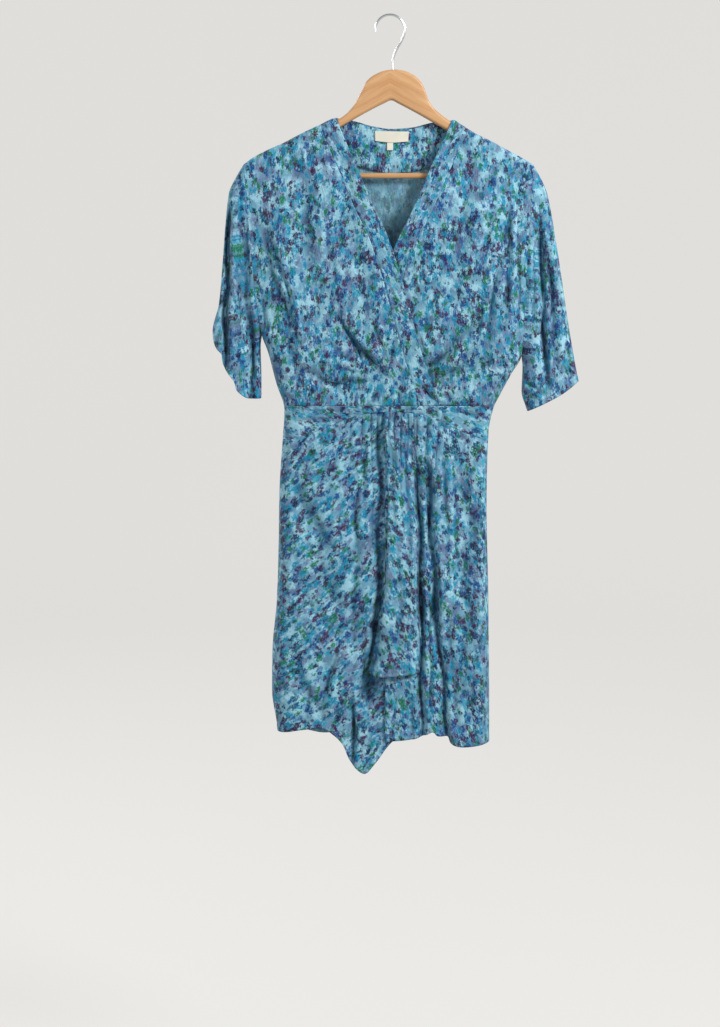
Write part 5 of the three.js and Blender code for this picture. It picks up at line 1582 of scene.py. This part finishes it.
def build_stage():
    """The camera at the photograph's angle, a pale round floor that rises into a wall, and soft light"""
    stage = bpy.context.scene.dress_stage
    lens = bpy.data.cameras.new("camera")
    lens.lens = PHOTO_FOCAL / PHOTO_HEIGHT * SENSOR
    lens.sensor_width = SENSOR
    lens.sensor_fit = "AUTO"
    lens.clip_end = 60
    camera = bpy.data.objects.new("camera", lens)
    camera.location = (-0.0436, -2.9759, -0.3199)
    camera.rotation_euler = (math.radians(90 - 7.8365), 0, 0)
    bpy.context.scene.collection.objects.link(camera)
    bpy.context.scene.camera = camera

    flat, bend, top = 4.7, 1.3, 3.6
    count = 65
    side = np.linspace(-1, 1, count)
    across, along = np.meshgrid(side, side)
    spot = np.stack([across * np.sqrt(1 - along ** 2 / 2), along * np.sqrt(1 - across ** 2 / 2)], -1)
    reach = np.linalg.norm(spot, axis=-1)
    profile = reach * (flat + bend * math.pi / 2 + top)
    turn = clamp01((profile - flat) / (bend * math.pi / 2)) * math.pi / 2
    radius = np.minimum(profile, flat) + bend * np.sin(turn)
    height = bend * (1 - np.cos(turn)) + np.maximum(profile - flat - bend * math.pi / 2, 0)
    points = np.dstack([spot / np.maximum(reach, 1e-9)[..., None] * radius[..., None],
                        height + stage.floor_height]).reshape(-1, 3) / MM
    index = np.arange(count * count).reshape(count, count)
    faces = np.stack([index[:-1, :-1], index[:-1, 1:], index[1:, 1:], index[1:, :-1]], -1).reshape(-1, 4)
    floor = mesh_object("floor", points, faces, np.zeros((faces.size, 2)), wall_paint("pale paint"))
    floor.visible_diffuse = False

    world = bpy.data.worlds.new("soft sky")
    world.use_nodes = True
    sky = world.node_tree.nodes["Background"]
    sky.inputs[0].default_value = (0.93, 0.96, 1.0, 1)
    sky.inputs[1].default_value = stage.sky_light
    bpy.context.scene.world = world
    for name, place, size, power in (
        ("key light", (2.1, -1.9, 1.1), 0.9, stage.key_light),
        ("fill light", (-2.4, -2.4, 0.3), 2.2, stage.fill_light),
        ("back light", (-2.3, 1.8, 1.0), 1.0, stage.back_light),
    ):
        lamp = bpy.data.lights.new(name, "AREA")
        lamp.shape = "DISK"
        lamp.size = size
        lamp.energy = power
        holder = bpy.data.objects.new(name, lamp)
        holder.location = place
        towards = Vector((0, 0, -0.6)) - Vector(place)
        holder.rotation_euler = towards.to_track_quat("-Z", "Y").to_euler()
        holder.visible_camera = False
        lamp.specular_factor = 0.0 if name == "back light" else 1.0
        bpy.context.scene.collection.objects.link(holder)
    bpy.context.scene.view_settings.view_transform = "Standard"


# Settings
def paint(name, description, default):
    return bpy.props.FloatVectorProperty(
        name=name, description=description, subtype="COLOR_GAMMA", size=3, min=0, max=1, default=default)


def size_of(name, description, default):
    return bpy.props.FloatProperty(
        name=name, description=description, unit="LENGTH", default=default, precision=4)


class DressCloth(bpy.types.PropertyGroup):
    """Sizes of the cloth"""

    wall: size_of("Wall", "Thickness of the cloth's shell", 0.0007)
    hem_width: size_of("Hem", "Width of the folded hems", 0.008)
    crinkle: bpy.props.FloatProperty(
        name="Crinkle", description="How uneven the cloth is", default=1.1, min=0)
    crease: bpy.props.FloatProperty(
        name="Creases", description="How deep the finer creases are", default=1.45, min=0)


class DressPrint(bpy.types.PropertyGroup):
    """Colours and brush sizes of the print"""

    stroke_width: size_of("Stroke width", "Width of the cell of one dab of paint", 0.0086)
    stroke_height: size_of("Stroke height", "Height of the cell of one dab of paint", 0.0136)
    # How strong the painted shade is where a fold or crease closes
    crease_shade: bpy.props.FloatProperty(
        name="Crease shade", description="How dark the cloth is where a crease closes", default=0.9,
        min=0, max=1)
    pale: paint("Pale", "Lightest blue of the ground", (0.63, 0.83, 0.89))
    ground: paint("Ground", "Blue of the ground", (0.43, 0.645, 0.74))
    lavender: paint("Lavender", "Grey lavender of the large washes", (0.42, 0.5, 0.65))
    mist: paint("Mist", "Light turquoise of the small washes", (0.04, 0.66, 0.77))
    periwinkle: paint("Periwinkle", "Soft violet blue", (0.21, 0.36, 0.62))
    turquoise: paint("Turquoise", "Strong turquoise", (0, 0.57, 0.72))
    teal: paint("Teal", "Deep green blue", (0, 0.39, 0.5))
    cobalt: paint("Cobalt", "Deep blue", (0, 0.31, 0.57))
    green: paint("Green", "Leaf green", (0, 0.48, 0.3))
    plum: paint("Plum", "Dark purple", (0.27, 0.09, 0.3))
    navy: paint("Navy", "Darkest blue", (0.02, 0.12, 0.3))
    thread: paint("Thread", "Sewing thread", (0.30, 0.52, 0.66))
    label: paint("Label", "Woven label", (0.93, 0.91, 0.84))


class DressHanger(bpy.types.PropertyGroup):
    """Colours of the hanger"""

    beech_light: paint("Light beech", "Lightest tone of the wood", (0.865, 0.68, 0.485))
    beech_dark: paint("Dark beech", "Darker tone of the wood", (0.80, 0.595, 0.395))
    beech_grain: paint("Grain", "Flecks and lines in the wood", (0.72, 0.49, 0.30))
    steel: paint("Steel", "Plated hook", (0.78, 0.79, 0.80))


class DressStage(bpy.types.PropertyGroup):
    """Floor and lights"""

    floor_height: size_of("Floor height", "Height of the floor", -1.75)
    floor_colour: paint("Floor colour", "Colour of the floor and wall", (0.905, 0.899, 0.884))
    wall_light: bpy.props.FloatProperty(
        name="Wall light", description="The light wall's own light", default=0.78)
    sky_light: bpy.props.FloatProperty(
        name="Sky", description="Strength of the light from all round", default=0.42)
    key_light: bpy.props.FloatProperty(name="Key", description="Main light", unit="POWER", default=88)
    fill_light: bpy.props.FloatProperty(
        name="Fill", description="Light from the left", unit="POWER", default=14)
    back_light: bpy.props.FloatProperty(
        name="Back", description="Light from behind", unit="POWER", default=42)


class DRESS_OT_stage(bpy.types.Operator):
    """Adds the camera, the floor and the lights"""

    bl_idname = "dress.stage"
    bl_label = "Stage"

    def execute(self, context):
        build_stage()
        return {"FINISHED"}


class DRESS_OT_bodice_fronts(bpy.types.Operator):
    """Adds the two crossed fronts and their neck bands"""

    bl_idname = "dress.bodice_fronts"
    bl_label = "Bodice fronts"

    def execute(self, context):
        build_bodice_fronts()
        return {"FINISHED"}


class DRESS_OT_back(bpy.types.Operator):
    """Adds the back with its neck facing and binding"""

    bl_idname = "dress.back"
    bl_label = "Back"

    def execute(self, context):
        build_back()
        return {"FINISHED"}


class DRESS_OT_labels(bpy.types.Operator):
    """Adds the blank label and size tab"""

    bl_idname = "dress.labels"
    bl_label = "Labels"

    def execute(self, context):
        build_labels()
        return {"FINISHED"}


class DRESS_OT_sleeves(bpy.types.Operator):
    """Adds the two sleeves"""

    bl_idname = "dress.sleeves"
    bl_label = "Sleeves"

    def execute(self, context):
        build_sleeves()
        return {"FINISHED"}


class DRESS_OT_waistbands(bpy.types.Operator):
    """Adds the front and back waistbands"""

    bl_idname = "dress.waistbands"
    bl_label = "Waistbands"

    def execute(self, context):
        build_waistbands()
        return {"FINISHED"}


class DRESS_OT_skirt(bpy.types.Operator):
    """Adds the skirt's panels, flap and hems"""

    bl_idname = "dress.skirt"
    bl_label = "Skirt"

    def execute(self, context):
        build_skirt()
        return {"FINISHED"}


class DRESS_OT_hanger(bpy.types.Operator):
    """Finishes the hanger's wood, bar and hook"""

    bl_idname = "dress.hanger"
    bl_label = "Hanger"

    def execute(self, context):
        build_hanger()
        return {"FINISHED"}


OPERATORS = (
    DRESS_OT_stage, DRESS_OT_back, DRESS_OT_bodice_fronts, DRESS_OT_labels, DRESS_OT_sleeves,
    DRESS_OT_waistbands, DRESS_OT_skirt, DRESS_OT_hanger,
)
GROUPS = {
    "dress_cloth": DressCloth, "dress_print": DressPrint, "dress_hanger": DressHanger,
    "dress_stage": DressStage,
}


class DRESS_PT_panel(bpy.types.Panel):
    """Lists the dress's settings and the steps that build it"""

    bl_label = "Wrap dress"
    bl_space_type = "VIEW_3D"
    bl_region_type = "UI"
    bl_category = "Dress"

    def draw(self, context):
        for key in GROUPS:
            settings = getattr(context.scene, key)
            box = self.layout.box()
            for name in settings.__annotations__:
                box.prop(settings, name)
        for operator in OPERATORS:
            self.layout.operator(operator.bl_idname)


def register():
    for group in GROUPS.values():
        bpy.utils.register_class(group)
    for key, group in GROUPS.items():
        setattr(bpy.types.Scene, key, bpy.props.PointerProperty(type=group))
    for operator in OPERATORS:
        bpy.utils.register_class(operator)
    bpy.utils.register_class(DRESS_PT_panel)


def unregister():
    bpy.utils.unregister_class(DRESS_PT_panel)
    for operator in reversed(OPERATORS):
        bpy.utils.unregister_class(operator)
    for key in GROUPS:
        delattr(bpy.types.Scene, key)
    for group in reversed(GROUPS.values()):
        bpy.utils.unregister_class(group)


def main():
    register()
    bpy.ops.dress.stage()
    bpy.ops.dress.back()
    bpy.ops.dress.bodice_fronts()
    bpy.ops.dress.labels()
    bpy.ops.dress.sleeves()
    bpy.ops.dress.waistbands()
    bpy.ops.dress.skirt()
    bpy.ops.dress.hanger()


if __name__ == "__main__":
    main()
